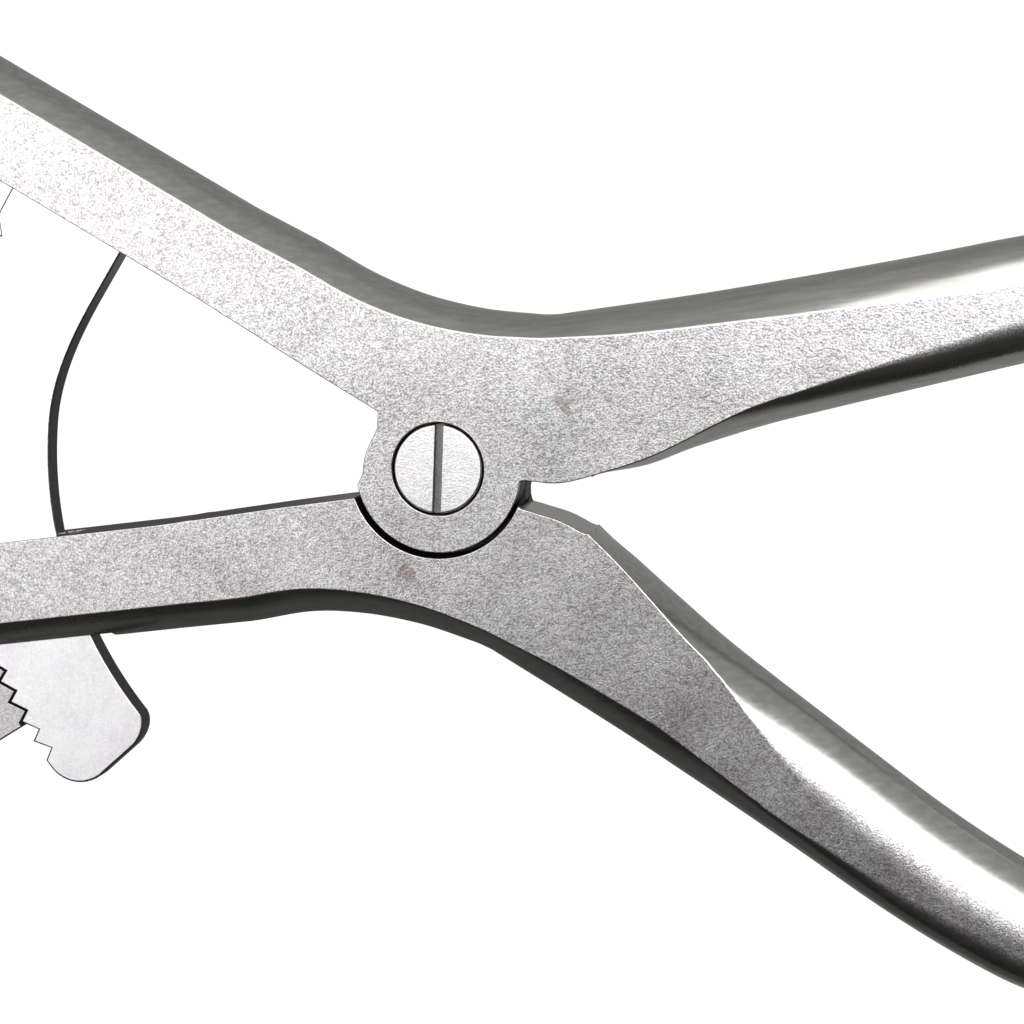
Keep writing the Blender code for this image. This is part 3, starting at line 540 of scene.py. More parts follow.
@dataclass(frozen=True)
class Lever:
    """One lever: handle, half of the lap joint and jaw."""

    side: Side
    width: float
    heel: float
    lean: float = 0.0
    steps_per_mm: float = 1.6
    joint_start: float = 8 * MM
    jaw_start: float = -2.5 * MM

    def steps(self, length: float) -> int:
        """How many sections a stretch of this length gets."""
        return ceil(abs(length) / MM * self.steps_per_mm)

    def handle_inner(self, distance: float) -> float:
        """How far in from the handle's middle line its flat inner side is."""
        return between([(0, FORGING.root_width / 2 - 0.2 * MM), (14 * MM, FORGING.upper_width / 2)],
                       distance)

    def handle_section(self, distance: float, share: float = 1.0) -> Section:
        """The handle's section, left thicker inside near the joint, where its edge is cut afterwards.

        Args:
            distance: how far it is from the joint.
            share: what is left of its size, less than 1 in the rounded end.

        Returns:
            The section.
        """
        size = FORGING
        spare = 0.3 * MM * (1 - ease(distance, self.joint_start, self.joint_start + 4.5 * MM))
        inner = self.handle_inner(distance) * share + spare
        outer = between([(0, size.root_width / 2 + 0.1 * MM), (14 * MM, self.width - size.upper_width / 2)],
                        distance)
        point, heading = HANDLE.at(distance)
        outward = -direction(heading + pi / 2)
        return Section(point - inner * outward, point + outer * share * outward, 0.0,
                       size.handle_bulge * share, size.thickness * (0.3 + 0.7 * share))

    def handle_sections(self) -> list[Section]:
        """From the rounded end to the joint."""
        nose = self.width / 2 + FORGING.handle_bulge / 2
        end = HANDLE.length
        rounds = 14
        sections = []
        for i in range(rounds):
            swing = pi / 2 * (i + 0.4) / (rounds + 0.4)
            sections.append(self.handle_section(end - nose * (1 - cos(swing)), sin(swing)))
        first = end - nose * 1.05
        run = self.joint_start - first
        count = self.steps(run)
        sections += [self.handle_section(first + run * i / count) for i in range(count + 1)]
        return sections

    def jaw_section(self, distance: float, share: float = 1.0) -> Section:
        """The jaw's section.

        Args:
            distance: how far it is from the joint.
            share: what is left of its size, less than 1 in the rounded tip.

        Returns:
            The section.
        """
        size = FORGING
        start = self.jaw_start
        tip = JAW.length - size.tip_length
        bow = size.jaw_straight + size.jaw_bend_radius * radians(size.jaw_bend_turn)
        heel = 1.4 * MM
        inner = between([(start, 5.75 * MM), (heel, 5.05 * MM + self.heel), (12 * MM, 3.2 * MM),
                         (31 * MM, 1.5 * MM), (bow, 0.6 * MM), (tip, 0.9 * MM)], distance)
        outer = between([(start, 5.75 * MM), (3 * MM, 4.75 * MM), (12 * MM, 3.65 * MM), (31 * MM, 1.5 * MM),
                         (bow, 0.6 * MM), (tip, 0.9 * MM)], distance)
        inner_side = between([(start, 5.77 * MM), (heel, 5.65 * MM + self.heel), (6 * MM, 5.5 * MM),
                              (14 * MM, 5.0 * MM), (31 * MM, 4.9 * MM), (bow, 4.8 * MM),
                              (tip - 8 * MM, 3.4 * MM), (tip, size.tip_width / 2)], distance)
        outer_side = between([(start, 7.6 * MM), (12 * MM, 6.3 * MM), (31 * MM, 5.2 * MM), (bow, 4.8 * MM),
                              (tip - 8 * MM, 3.4 * MM), (tip, size.tip_width / 2)], distance)
        thickness = between([(0, size.thickness), (bow + 10 * MM, size.thickness),
                             (tip, size.tip_thickness)], distance)
        lean = self.lean * between([(12 * MM, 0.0), (27 * MM, 1.0), (bow, 0.8), (tip - 8 * MM, 0.0)],
                                   distance)
        inner, outer = inner - lean, outer + 0.6 * lean
        point, heading = JAW.at(distance)
        outward = direction(heading + pi / 2)
        return Section(point - inner * share * outward, point + outer * share * outward,
                       (inner_side - inner) * share, (outer_side - outer) * share, thickness * share,
                       between([(10 * MM, 1.0), (26 * MM, 0.5)], distance),
                       between([(18 * MM, 1.0), (36 * MM, 0.5)], distance))

    def jaw_sections(self) -> list[Section]:
        """From the joint to the rounded tip."""
        nose = FORGING.tip_width / 2
        straight = JAW.length - nose
        run = straight - self.jaw_start
        count = self.steps(run)
        sections = [self.jaw_section(self.jaw_start + run * i / count) for i in range(count + 1)]
        rounds = 12
        for i in range(1, rounds):
            swing = pi / 2 * i / (rounds - 0.4)
            sections.append(self.jaw_section(straight + nose * sin(swing), cos(swing)))
        return sections

    def joint_sections(self) -> list[Section]:
        """A fan round the joint, wide enough to hold the boss, whose edge is cut afterwards."""
        handle = [self.handle_section(self.joint_start + step * MM) for step in (5.4, 0)]
        jaw = [self.jaw_section(self.jaw_start + step * MM) for step in (0, 4.6)]
        low = -FORGING.boss_radius / MM - 1.3
        outer = scaled([(-9.5, 12.25), (-4.4, 11.42), (0.8, 11.42), (5.4, 12.05)])
        inner = scaled([(-11.5, -2.0), (-6.5, low), (0.5, low), (7.6, low)])
        outer = [handle[0].outer, handle[1].outer] + outer + [jaw[0].outer, jaw[1].outer]
        inner = [handle[0].inner, handle[1].inner] + inner + [jaw[0].inner, jaw[1].inner]
        count = self.steps(24 * MM)
        sections = []
        for i in range(1, count):
            part = i / count
            swept = ease(part, 0, 1)
            bulge = handle[1].outer_bulge + (jaw[0].outer_bulge - handle[1].outer_bulge) * swept
            way = 90 - FORGING.handle_slope + (FORGING.handle_slope + FORGING.jaw_slope) * swept
            sections.append(Section(curve_through(inner, part), curve_through(outer, part),
                                    jaw[0].inner_bulge * ease(part, 0.8, 1.0), bulge,
                                    outer_way=direction(radians(way))))
        return sections

    def handle_inner_point(self, distance: float) -> Vector:
        """A point on the flat inner side of the handle, or on its line into the joint.

        It moves clear of the handle where the cut ends.
        """
        reach = max(distance, 0.0)
        point, heading = HANDLE.at(reach)
        clear = 0.12 * MM * ease(distance, 10.5 * MM, 13.4 * MM)
        edge = point - (self.handle_inner(reach) + clear) * direction(heading - pi / 2)
        return edge + min(distance, 0.0) * direction(heading)

    def edge_outline(self) -> list[Vector]:
        """The space below the lever at full height: the handle's inner edge, the boss and the stop face."""
        places = (13.4, 11.9, 10.8, 10, 8, 6, 3, -3.7)
        inner_edge = [self.handle_inner_point(place * MM) for place in places]
        relief = scaled([(-5.62, 2.3), (-5.66, 2.05), (-5.75, 1.7), (-5.9, 1.15), (-6.03, 0.6), (-6.13, 0.1),
                         (-6.18, -0.4), (-6.17, -0.9), (-6.13, -1.4), (-6.12, -1.8)])
        boss = circle_arc((0, 0), FORGING.boss_radius, 203, 364, 80)
        below = scaled([(18, -13), (-18, -13)])
        return below + inner_edge + relief + boss + self.stop_outline()

    def stop_outline(self) -> list[Vector]:
        """The stop face beside the boss, which is further back on the lower lever, and the way down."""
        if self.side is Side.LOWER:
            return scaled([(7.05, 1.2), (7.3, 1.72), (8.0, 1.76), (8.9, 1.84), (9.8, 1.9), (10.5, 1.98),
                           (11.2, 2.12), (11.9, 2.32), (12.5, 2.52), (13.0, 2.6), (13.7, 2.2), (14, -3)])
        return scaled([(7.1, 0.54), (7.5, 0.62), (8.1, 0.68), (8.7, 0.74), (9.25, 0.8), (9.75, 0.9),
                       (10.3, 1.06), (10.9, 1.3), (11.4, 1.54), (11.9, 1.79), (12.56, 2.13), (13.2, 1.6),
                       (14, -3)])

    def recess_outline(self) -> list[Vector]:
        """The space that a lever's back half leaves for the other lever's boss, and behind its stop face."""
        recess = circle_arc((-0.07 * MM, 0.06 * MM), FORGING.boss_radius + 0.42 * MM, 12, 340, 96)
        return recess + scaled([(14.2, -3), (14.2, 1.0), (12.6, 2.2), (11.9, 2.32), (11.2, 2.12),
                                (10.5, 1.98), (9.8, 1.9), (8.9, 1.84), (8.0, 1.76)])

    def forging(self) -> Shape:
        """The lever before its holes and slots."""
        sections = self.handle_sections() + self.joint_sections() + self.jaw_sections()
        return Shape().loft([section.ring() for section in sections]).merge_flats()

    def joint_cuts(self) -> list[Shape]:
        """What both levers have cut away round the joint."""
        size = FORGING
        edge = Shape().prism(self.edge_outline(), -OVER, size.thickness + OVER)
        recess = Shape().prism(self.recess_outline(), -OVER, size.middle + size.gap / 2)
        return [edge, recess]

    def finish(self, body: Shape) -> Shape:
        """Breaks every sharp edge that a finger or a rag would find."""
        middle = (FORGING.middle - FORGING.gap, FORGING.middle + FORGING.gap)

        def outside(edge: bmesh.types.BMEdge) -> bool:
            """Whether an edge lies in a face of the lever or in the plane of the joint."""
            heights = [vertex.co.z for vertex in edge.verts]
            return any(abs(height - level) < 0.02 * MM for height in heights
                       for level in (0.0, FORGING.thickness)) or middle[0] < heights[0] < middle[1]

        return body.merge_flats().round_edges(FORGING.edge_radius, where=outside)


class UpperLever(Lever):
    """The lever with the screw head's seat and the root of the toothed arc."""

    def shape(self) -> Shape:
        """The finished lever."""
        size = FORGING
        cuts = self.joint_cuts()
        cuts.append(Shape().bar(size.shank_radius + size.fit, -OVER, size.thickness + OVER))
        seat = size.thickness - size.head_depth - size.fit
        cuts.append(Shape().bar(size.head_radius + size.fit, seat, size.thickness + OVER, sides=128))
        inner = RATCHET.inner - RATCHET.flare - size.gap
        outer = RATCHET.outer + size.gap
        outline = polar_arc(inner, 12, RATCHET.root + 0.5, 24) + polar_arc(outer, RATCHET.root + 0.5, 12, 24)
        cuts.append(Shape().prism(outline, RATCHET.slot_low, RATCHET.slot_high))
        for place in RATCHET.pin_places():
            hole = Matrix.Translation((place.x, place.y, 0))
            cuts.append(Shape().bar(RATCHET.pin_radius + size.fit, -OVER,
                                    size.thickness - RATCHET.pin_cover + size.fit, hole, 48))
        return self.finish(carved(self.forging(), cuts))


class LowerLever(Lever):
    """The lever with the slot that the toothed arc runs through, the pawl's pivot and the spring's seat."""

    def shape(self) -> Shape:
        """The finished lever."""
        size = FORGING
        body = carved(self.forging(), self.joint_cuts()).turn(turn_over())
        frame_here = PAWL.frame
        passage = polar_arc(RATCHET.inner - RATCHET.flare - size.gap, 8, 54, 46)
        pivot = circle_arc(frame_here.origin, PAWL.boss_radius + size.gap, -189, -50, 30)
        pocket = [polar(60 * MM, 50), frame_here.place(19 * MM, 9 * MM), frame_here.place(17 * MM, 3.7 * MM),
                  frame_here.place(7.5 * MM, 1.9 * MM)]
        outer = polar_arc(RATCHET.outer + 1.6 * size.gap, 22, 8, 16)
        cuts = [Shape().prism(mirrored(passage + pocket + pivot + outer), RATCHET.slot_low,
                              RATCHET.slot_high)]
        cuts.append(Shape().bar(size.shank_radius + size.fit, -OVER, size.thickness + OVER))
        cuts.append(Shape().bar(PAWL.pin_radius + size.fit, -OVER, size.thickness + OVER, PAWL.pivot(), 48))
        cuts.append(SPRING.seat_cutter())
        cuts.append(Shape().bar(SPRING.screw_radius + size.fit, -3.2 * MM, 3 * MM, SPRING.seat(), 32))
        return self.finish(carved(body, cuts))


# Joint screw ----------------------------------------------------------------------------------------

@dataclass(frozen=True)
class JointScrew:
    """The flush slotted screw that the levers turn on."""

    sink: float = 0.05 * MM
    rim: float = 0.2 * MM
    slot_width: float = 0.75 * MM
    slot_depth: float = 0.9 * MM
    slot_turn: float = 9.2
    slot_edge_radius: float = 0.05 * MM

    def shape(self) -> Shape:
        """The head, the shank and the driver's slot."""
        size = FORGING
        top = size.thickness - self.sink
        under = top - size.head_depth + size.fit
        head = [(size.head_radius - self.rim * across, top - self.rim * down)
                for across, down in rounding(5)]
        tail = [(size.shank_radius - self.rim * down, self.rim * across) for across, down in rounding(5)]
        profile = [(0.0, top)] + head + [(size.head_radius, under), (size.shank_radius, under)] + tail
        body = Shape().turned(profile + [(0.0, 0.0)], 160)
        place = Matrix.Rotation(radians(self.slot_turn), 4, "Z") @ Matrix.Translation((0, 0, top))
        slot = Shape().block((self.slot_width, 3 * size.head_radius, 2 * self.slot_depth), place)
        body = carved(body, [slot]).merge_flats()

        def slot_edge(edge: bmesh.types.BMEdge) -> bool:
            """Whether an edge is one of the two long top edges of the slot."""
            return all(abs(vertex.co.z - top) < LEVEL_TOLERANCE for vertex in edge.verts) \
                and edge.calc_length() > size.head_radius

        return body.round_edges(self.slot_edge_radius, where=slot_edge)


# Ratchet --------------------------------------------------------------------------------------------

@dataclass(frozen=True)
class Ratchet:
    """The toothed arc and its two pins. Its angles are measured up from -X, about the joint screw."""

    pitch: float = 2.6
    thickness: float = 2.2 * MM
    inner: float = 34.0 * MM
    flare: float = 1.5 * MM
    outer: float = 43.4 * MM
    tooth_height: float = 1.0 * MM
    tooth_steep: float = 0.8
    last_notch: float = -47.0
    notches: int = 25
    end: float = -53.3
    root: float = 29.4
    pin_radius: float = 1.0 * MM
    pin_spread: float = 5.2 * MM
    pin_cover: float = 1.1 * MM
    pin_dome: float = 0.12 * MM
    pawl_reach: float = 4.4 * MM
    edge_radius: float = 0.22 * MM

    @property
    def roots(self) -> float:
        """Radius of the bottoms of the notches."""
        return self.outer - self.tooth_height

    @property
    def low(self) -> float:
        """Height of the arc's back face."""
        return FORGING.middle - self.thickness / 2

    @property
    def high(self) -> float:
        """Height of the arc's front face."""
        return FORGING.middle + self.thickness / 2

    @property
    def slot_low(self) -> float:
        """Height of the floor of the levers' slots."""
        return self.low - FORGING.fit

    @property
    def slot_high(self) -> float:
        """Height of the roof of the levers' slots."""
        return self.high + FORGING.fit

    def notch(self, number: int) -> float:
        """The angle of a notch, counted from the arc's free end."""
        return self.last_notch + self.pitch * number

    @property
    def pawl_distance(self) -> float:
        """How far along the handle the pawl's pin is."""
        return handle_at_radius(self.outer + self.pawl_reach)

    def pin_places(self) -> list[Vector]:
        """Where the two pins cross the upper handle's middle line."""
        middle = (self.inner + self.roots) / 2
        return [HANDLE.at(handle_at_radius(middle + side * self.pin_spread / 2))[0] for side in (-1, 1)]

    def outline(self) -> list[Vector]:
        """The inner edge down to the free end, its two round corners, and the teeth back up to the root."""
        steps = 70
        start = self.end + 2.8
        angles = [self.root + (start - self.root) * i / steps for i in range(steps + 1)]
        points = [polar(self.inner - self.flare * ease(angle, -6, 20), angle) for angle in angles]
        inner_corner = 2.6 * MM
        outer_corner = 3.4 * MM
        corner = rounding(12)[1:]
        points += [polar(self.inner + inner_corner * down,
                         self.end + degrees(inner_corner / self.outer) * 0.9 * across)
                   for across, down in corner]
        points += [polar(self.outer - outer_corner * across,
                         self.end + degrees(outer_corner / self.outer) * down)
                   for across, down in corner]
        for number in range(self.notches):
            points.append(polar(self.outer, self.notch(number) - self.tooth_steep))
            points.append(polar(self.roots, self.notch(number)))
        points.append(polar(self.outer, self.notch(self.notches) - self.tooth_steep))
        return points + polar_arc(self.outer, self.notch(self.notches) + 0.4, self.root, 12)

    def arc(self) -> Shape:
        """The toothed arc with its pin holes."""
        plate = Shape().prism(self.outline(), self.low, self.high)
        holes = [Shape().bar(self.pin_radius + FORGING.fit, self.low - OVER, self.high + OVER,
                             Matrix.Translation((place.x, place.y, 0)), 48) for place in self.pin_places()]
        return carved(plate, holes).merge_flats().round_edges(self.edge_radius, 60.0, 4, runs_level)

    def pin(self, place: Vector) -> Shape:
        """One pin, domed where it shows in the lever's back."""
        top = FORGING.thickness - self.pin_cover
        profile = domed_end(self.pin_radius, self.pin_dome) + [(self.pin_radius, top), (0.0, top)]
        return Shape().turned(profile, 64).turn(Matrix.Translation((place.x, place.y, 0)))


RATCHET = Ratchet()


# Pawl -----------------------------------------------------------------------------------------------

@dataclass(frozen=True)
class Pawl:
    """The toothed lever that catches the arc, and its pin."""

    first_notch: int = 2
    teeth: int = 4
    depth: float = 4.2 * MM
    boss_radius: float = 2.1 * MM
    pin_radius: float = 0.9 * MM
    thumb_height: float = 5.6 * MM
    thumb_length: float = 9.0 * MM
    thumb_depth: float = 1.6 * MM
    tail_width: float = 2.6 * MM
    thumb_edge_radius: float = 0.55 * MM
    grooves: int = 6
    groove_radius: float = 0.36 * MM
    pin_out: float = 0.95 * MM
    pin_dome: float = 0.14 * MM
    clear: float = 0.1 * MM
    edge_radius: float = 0.1 * MM

    @property
    def frame(self) -> HandleFrame:
        """The pin's place on the handle, on the upper side's coordinates."""
        return HandleFrame(RATCHET.pawl_distance, self.pin_out)

    def pivot(self) -> Matrix:
        """The pin's axis."""
        place = mirrored([self.frame.origin])[0]
        return Matrix.Translation((place.x, place.y, 0))

    def tail_line(self) -> tuple[Vector, Vector]:
        """The middle of the tail, from beside the boss to the middle of its round end."""
        return self.frame.place(5.2 * MM, 5.9 * MM), self.frame.place(23.0 * MM, 13.0 * MM)

    def outline(self) -> list[Vector]:
        """The toothed nose, the boss round the pin and the tail, on the upper side's coordinates."""
        clear = self.clear
        outer, steep, pitch = RATCHET.outer, RATCHET.tooth_steep, RATCHET.pitch
        first = -RATCHET.notch(self.first_notch)
        points = [polar(outer + clear, first + steep + 0.5)]
        for number in range(self.teeth):
            notch = first - pitch * number
            points.append(polar(outer + clear, notch + steep))
            points.append(polar(RATCHET.roots + clear, notch))
        last = first - pitch * self.teeth
        points += polar_arc(outer + 2 * clear, last + steep, last - 3.5, 6)
        points += circle_arc(self.frame.origin, self.boss_radius, -5, -200, 40)
        near, far = self.tail_line()
        heading = degrees(atan2(far.y - near.y, far.x - near.x))
        points.append(near + self.tail_width / 2 * direction(radians(heading + 90)))
        points += circle_arc(far, self.tail_width / 2, heading + 90, heading - 90, 24)
        points.append(near + self.tail_width / 2 * direction(radians(heading - 90)))
        points += polar_arc(outer + self.depth, first - 8, first + steep - 0.2, 12)
        return points + [polar(outer + self.depth - 0.8 * MM, first + steep + 0.5)]

    def thumb_pad(self) -> Shape:
        """The wide pad at the tail's end, let into the tail, with grooves across it for grip."""
        near, far = self.tail_line()
        along = (far - near).normalized()
        outward = Vector((along.y, -along.x))
        centre = (far - along * (self.thumb_length / 2 - 0.6 * MM)
                  + outward * (self.tail_width + self.thumb_depth) / 2.6)
        place = Matrix.Translation((centre.x, -centre.y, FORGING.middle))
        place = place @ Matrix.Rotation(atan2(-along.y, along.x), 4, "Z")
        pad = Shape().block((self.thumb_length, self.thumb_depth, self.thumb_height), place)
        pad.round_edges(self.thumb_edge_radius, segments=5)
        pitch = self.thumb_length / (self.grooves + 1)
        offsets = [pitch * (i - (self.grooves - 1) / 2) for i in range(self.grooves)]
        face = -self.thumb_depth / 2 if (place.inverted() @ Vector((0, 0, FORGING.middle))).y > 0 \
            else self.thumb_depth / 2
        tools = [Shape().bar(self.groove_radius, -self.thumb_height, self.thumb_height,
                             place @ Matrix.Translation((offset, face * 1.12, 0)), 16) for offset in offsets]
        return carved(pad, tools)

    def shape(self) -> Shape:
        """The finished pawl."""
        low, high = RATCHET.low, RATCHET.high
        plate = Shape().prism(mirrored(self.outline()), low, high)
        hole = Shape().bar(self.pin_radius + FORGING.fit, low - OVER, high + OVER, self.pivot(), 48)
        body = carved(plate, [hole]).merge_flats().round_edges(self.edge_radius, 60.0, 3, runs_level)
        return carved(body, [self.thumb_pad()], "UNION")

    def pin(self) -> Shape:
        """The pin, domed at both ends."""
        back = domed_end(self.pin_radius, self.pin_dome)
        front = [(across, FORGING.thickness - height) for across, height in reversed(back)]
        return Shape().turned(back + front, 64).turn(self.pivot())


PAWL = Pawl()


# Pawl spring ----------------------------------------------------------------------------------------

@dataclass(frozen=True)
class PawlSpring:
    """The leaf spring under the pawl's tail and the screw that clamps it to the lower handle."""

    reach: float = 25.62 * MM
    thickness: float = 0.5 * MM
    width: float = 4.0 * MM
    screw_radius: float = 0.8 * MM
    head_radius: float = 1.7 * MM
    head_height: float = 0.9 * MM
    screw_depth: float = 3.0 * MM
    slot_width: float = 0.4 * MM
    slot_depth: float = 0.4 * MM
    seat_depth: float = 0.9 * MM
    edge_radius: float = 0.07 * MM
    chamfer: float = 0.35 * MM

    @property
    def frame(self) -> HandleFrame:
        """The screw's place on the handle, on the upper side's coordinates."""
        return HandleFrame(RATCHET.pawl_distance + self.reach)

    @property
    def seat_out(self) -> float:
        """How far out from the handle's middle line the flat seat is."""
        return FORGING.lower_width - FORGING.upper_width / 2 + FORGING.handle_bulge - self.seat_depth

    def seat(self) -> Matrix:
        """A place on the seat with its Z axis pointing out of the handle."""
        place = self.frame.place(0, self.seat_out)
        outward = Vector((self.frame.outward.x, -self.frame.outward.y, 0.0))
        turn = outward.to_track_quat("Z", "Y").to_matrix().to_4x4()
        return Matrix.Translation((place.x, -place.y, FORGING.middle)) @ turn

    def seat_cutter(self) -> Shape:
        """What is filed off the handle for the seat."""
        at = self.frame.place
        out = self.seat_out
        corners = [at(-4 * MM, out), at(3.2 * MM, out), at(4.4 * MM, out + 4 * MM),
                   at(-5.2 * MM, out + 4 * MM)]
        return Shape().prism(mirrored(corners), -OVER, FORGING.thickness + OVER)

    def outwards(self, along: Vector) -> Vector:
        """The direction square to another that points out of the handle."""
        lift = Vector((along.y, -along.x))
        return lift if lift.dot(self.frame.outward) > 0 else -lift

    def line(self) -> list[Vector]:
        """The leaf's inner face, from its clamped end to its free end under the pawl's tail."""
        clamp = self.seat_out + FORGING.fit
        contact = PAWL.frame.place(19.5 * MM, 9.35 * MM)
        start = self.frame.place(2.6 * MM, clamp)
        knee = self.frame.place(-3.0 * MM, clamp)
        rise = (contact - knee).normalized()
        middle = (knee + contact) / 2 + 0.25 * MM * self.outwards(rise)
        guides = [start, self.frame.place(-1.6 * MM, clamp), knee, middle, contact, contact + rise * MM]
        bent = [curve_through(guides, i / 24) for i in range(25)]
        return [start] + bent

    def shape(self) -> Shape:
        """The leaf with its screw hole."""
        line = self.line()
        other = []
        for i, point in enumerate(line):
            along = (line[min(i + 1, len(line) - 1)] - line[max(i - 1, 0)]).normalized()
            other.append(point + self.thickness * self.outwards(along))
        middle = FORGING.middle
        leaf = Shape().prism(mirrored(line + list(reversed(other))), middle - self.width / 2,
                             middle + self.width / 2)
        hole = Shape().bar(self.screw_radius + FORGING.fit, -OVER, 3 * MM, self.seat(), 32)
        return carved(leaf, [hole]).merge_flats().round_edges(self.edge_radius, 60.0)

    def screw(self) -> Shape:
        """The clamp screw with a slotted cheese head."""
        low = FORGING.fit + self.thickness + FORGING.fit
        top = low + self.head_height
        rim = [(self.head_radius - self.chamfer * across, top - self.chamfer * down)
               for across, down in rounding(5)]
        tail = low - self.screw_depth
        profile = [(0.0, top)] + rim + [(self.head_radius, low), (self.screw_radius, low),
                                        (self.screw_radius, tail), (0.0, tail)]
        slot = Shape().block((self.slot_width, 4 * self.head_radius, 2 * self.slot_depth),
                             Matrix.Translation((0, 0, top)))
        return carved(Shape().turned(profile, 64), [slot]).merge_flats().turn(self.seat())


SPRING = PawlSpring()


# Rubber sleeves -------------------------------------------------------------------------------------

@dataclass(frozen=True)
class TipSleeve:
    """The ribbed rubber sleeve pushed over a jaw's tip."""

    side: Side
    rib_pitch: float = 1.5 * MM
    groove: float = 0.28 * MM
    flat: float = 0.9 * MM

    def section(self, distance: float, growth: float, share: float = 1.0) -> list[Vector]:
        """The ring round the jaw's tip.

        Args:
            distance: how far along the jaw it is.
            growth: how far outside the steel it is.
            share: what is left of its size, less than 1 in the nose.

        Returns:
            Its points.
        """
        half = (FORGING.tip_width / 2 + growth) * share
        flat = self.flat * share
        point, heading = JAW.at(distance)
        outward = direction(heading + pi / 2)
        high = (FORGING.tip_thickness + 2 * growth) * share
        section = Section(point - flat * outward, point + flat * outward, half - flat, half - flat, high,
                          0.5, 0.5)
        return section.ring(16)

    def skin(self, growth: float, first: float, last: float, depth: float) -> list[list[Vector]]:
        """The rings of one side of the wall, from the open end to the round nose.

        Args:
            growth: the allowance over the steel tip.
            first: where it starts, along the jaw.
            last: where the nose ends.
            depth: depth of the grooves between the ribs.

        Returns:
            The rings in order.
        """
        nose = FORGING.tip_width / 2 + growth
        straight = last - nose
        count = 60 if depth else 6
        rings = []
        for i in range(count + 1):
            distance = first + (straight - first) * i / count
            wave = 0.5 - 0.5 * cos(2 * pi * (distance - first) / self.rib_pitch)
            edge = min(ease(i, 4, 10), ease(count - i, 0, 6)) if depth else 0.0
            rings.append(self.section(distance, growth - depth * wave ** 3 * edge))
        for i in range(1, 14):
            swing = pi / 2 * i / 13.5
            rings.append(self.section(straight + nose * sin(swing), growth, cos(swing)))
        return rings

    def shape(self) -> Shape:
        """Inner wall, rolled lip and outer wall in one closed skin."""
        size = FORGING
        open_end = JAW.length - size.sleeve_length
        wall = size.sleeve_wall
        inner = self.skin(size.fit, open_end + wall / 2, JAW.length + size.fit, 0.0)
        outer = self.skin(size.fit + wall, open_end + wall / 2, JAW.length + size.fit + wall, self.groove)
        lip = [self.section(open_end + wall / 2 * (1 - sin(swing)), size.fit + wall / 2 * (1 - cos(swing)))
               for swing in [pi * i / 10 for i in range(1, 10)]]
        shape = Shape().loft(list(reversed(inner)) + lip + outer)
        return shape.turn(turn_over()) if self.side is Side.LOWER else shape


# Shader maths ---------------------------------------------------------------------------------------

Amount = Union["Value", float]


class Value:
    """A number that changes over a surface, with arithmetic that adds Math nodes."""

    def __init__(self, graph: "Nodes", socket: bpy.types.NodeSocket) -> None:
        """Wraps a node's output."""
        self.graph = graph
        self.socket = socket

    def math(self, operation: str, first: Amount, second: Amount) -> "Value":
        """Adds one Math node."""
        node = self.graph.node("ShaderNodeMath", {"operation": operation}, {0: first, 1: second})
        return Value(self.graph, node.outputs[0])

    def __add__(self, other: Amount) -> "Value":
        """The sum."""
        return self.math("ADD", self, other)

    __radd__ = __add__

    def __sub__(self, other: Amount) -> "Value":
        """The difference."""
        return self.math("SUBTRACT", self, other)

    def __rsub__(self, other: Amount) -> "Value":
        """The difference, the other way round."""
        return self.math("SUBTRACT", other, self)

    def __mul__(self, other: Amount) -> "Value":
        """The product."""
        return self.math("MULTIPLY", self, other)

    __rmul__ = __mul__

    def distance_from(self, other: Amount) -> "Value":
        """How far apart two numbers are."""
        gap = self - other
        return self.math("ABSOLUTE", gap, 0.0)

    def rise(self, first: float, last: float) -> "Value":
        """0 at first, 1 at last, and smooth between; first may be the larger."""
        inputs = {"Value": self, "From Min": first, "From Max": last}
        node = self.graph.node("ShaderNodeMapRange", {"interpolation_type": "SMOOTHSTEP"}, inputs)
        return Value(self.graph, node.outputs["Result"])


class Nodes:
    """A tree of shader nodes."""

    def __init__(self, tree: bpy.types.NodeTree) -> None:
        """Wraps a tree."""
        self.tree = tree

    def node(self, kind: str, settings: dict, inputs: dict) -> bpy.types.Node:
        """Adds a node.

        Args:
            kind: the node's type.
            settings: its properties, set first.
            inputs: values or links for its sockets, by name or number.

        Returns:
            The node.
        """
        node = self.tree.nodes.new(kind)
        for name, value in settings.items():
            setattr(node, name, value)
        for key, value in inputs.items():
            self.feed(node.inputs[key], value)
        return node

    def feed(self, socket: bpy.types.NodeSocket, value: object) -> None:
        """Links a socket, or sets its number."""
        if isinstance(value, Value):
            self.tree.links.new(value.socket, socket)
        elif isinstance(value, bpy.types.NodeSocket):
            self.tree.links.new(value, socket)
        else:
            socket.default_value = value

    def part(self, vector: bpy.types.NodeSocket, name: str) -> Value:
        """One coordinate of a vector."""
        return Value(self, self.node("ShaderNodeSeparateXYZ", {}, {0: vector}).outputs[name])


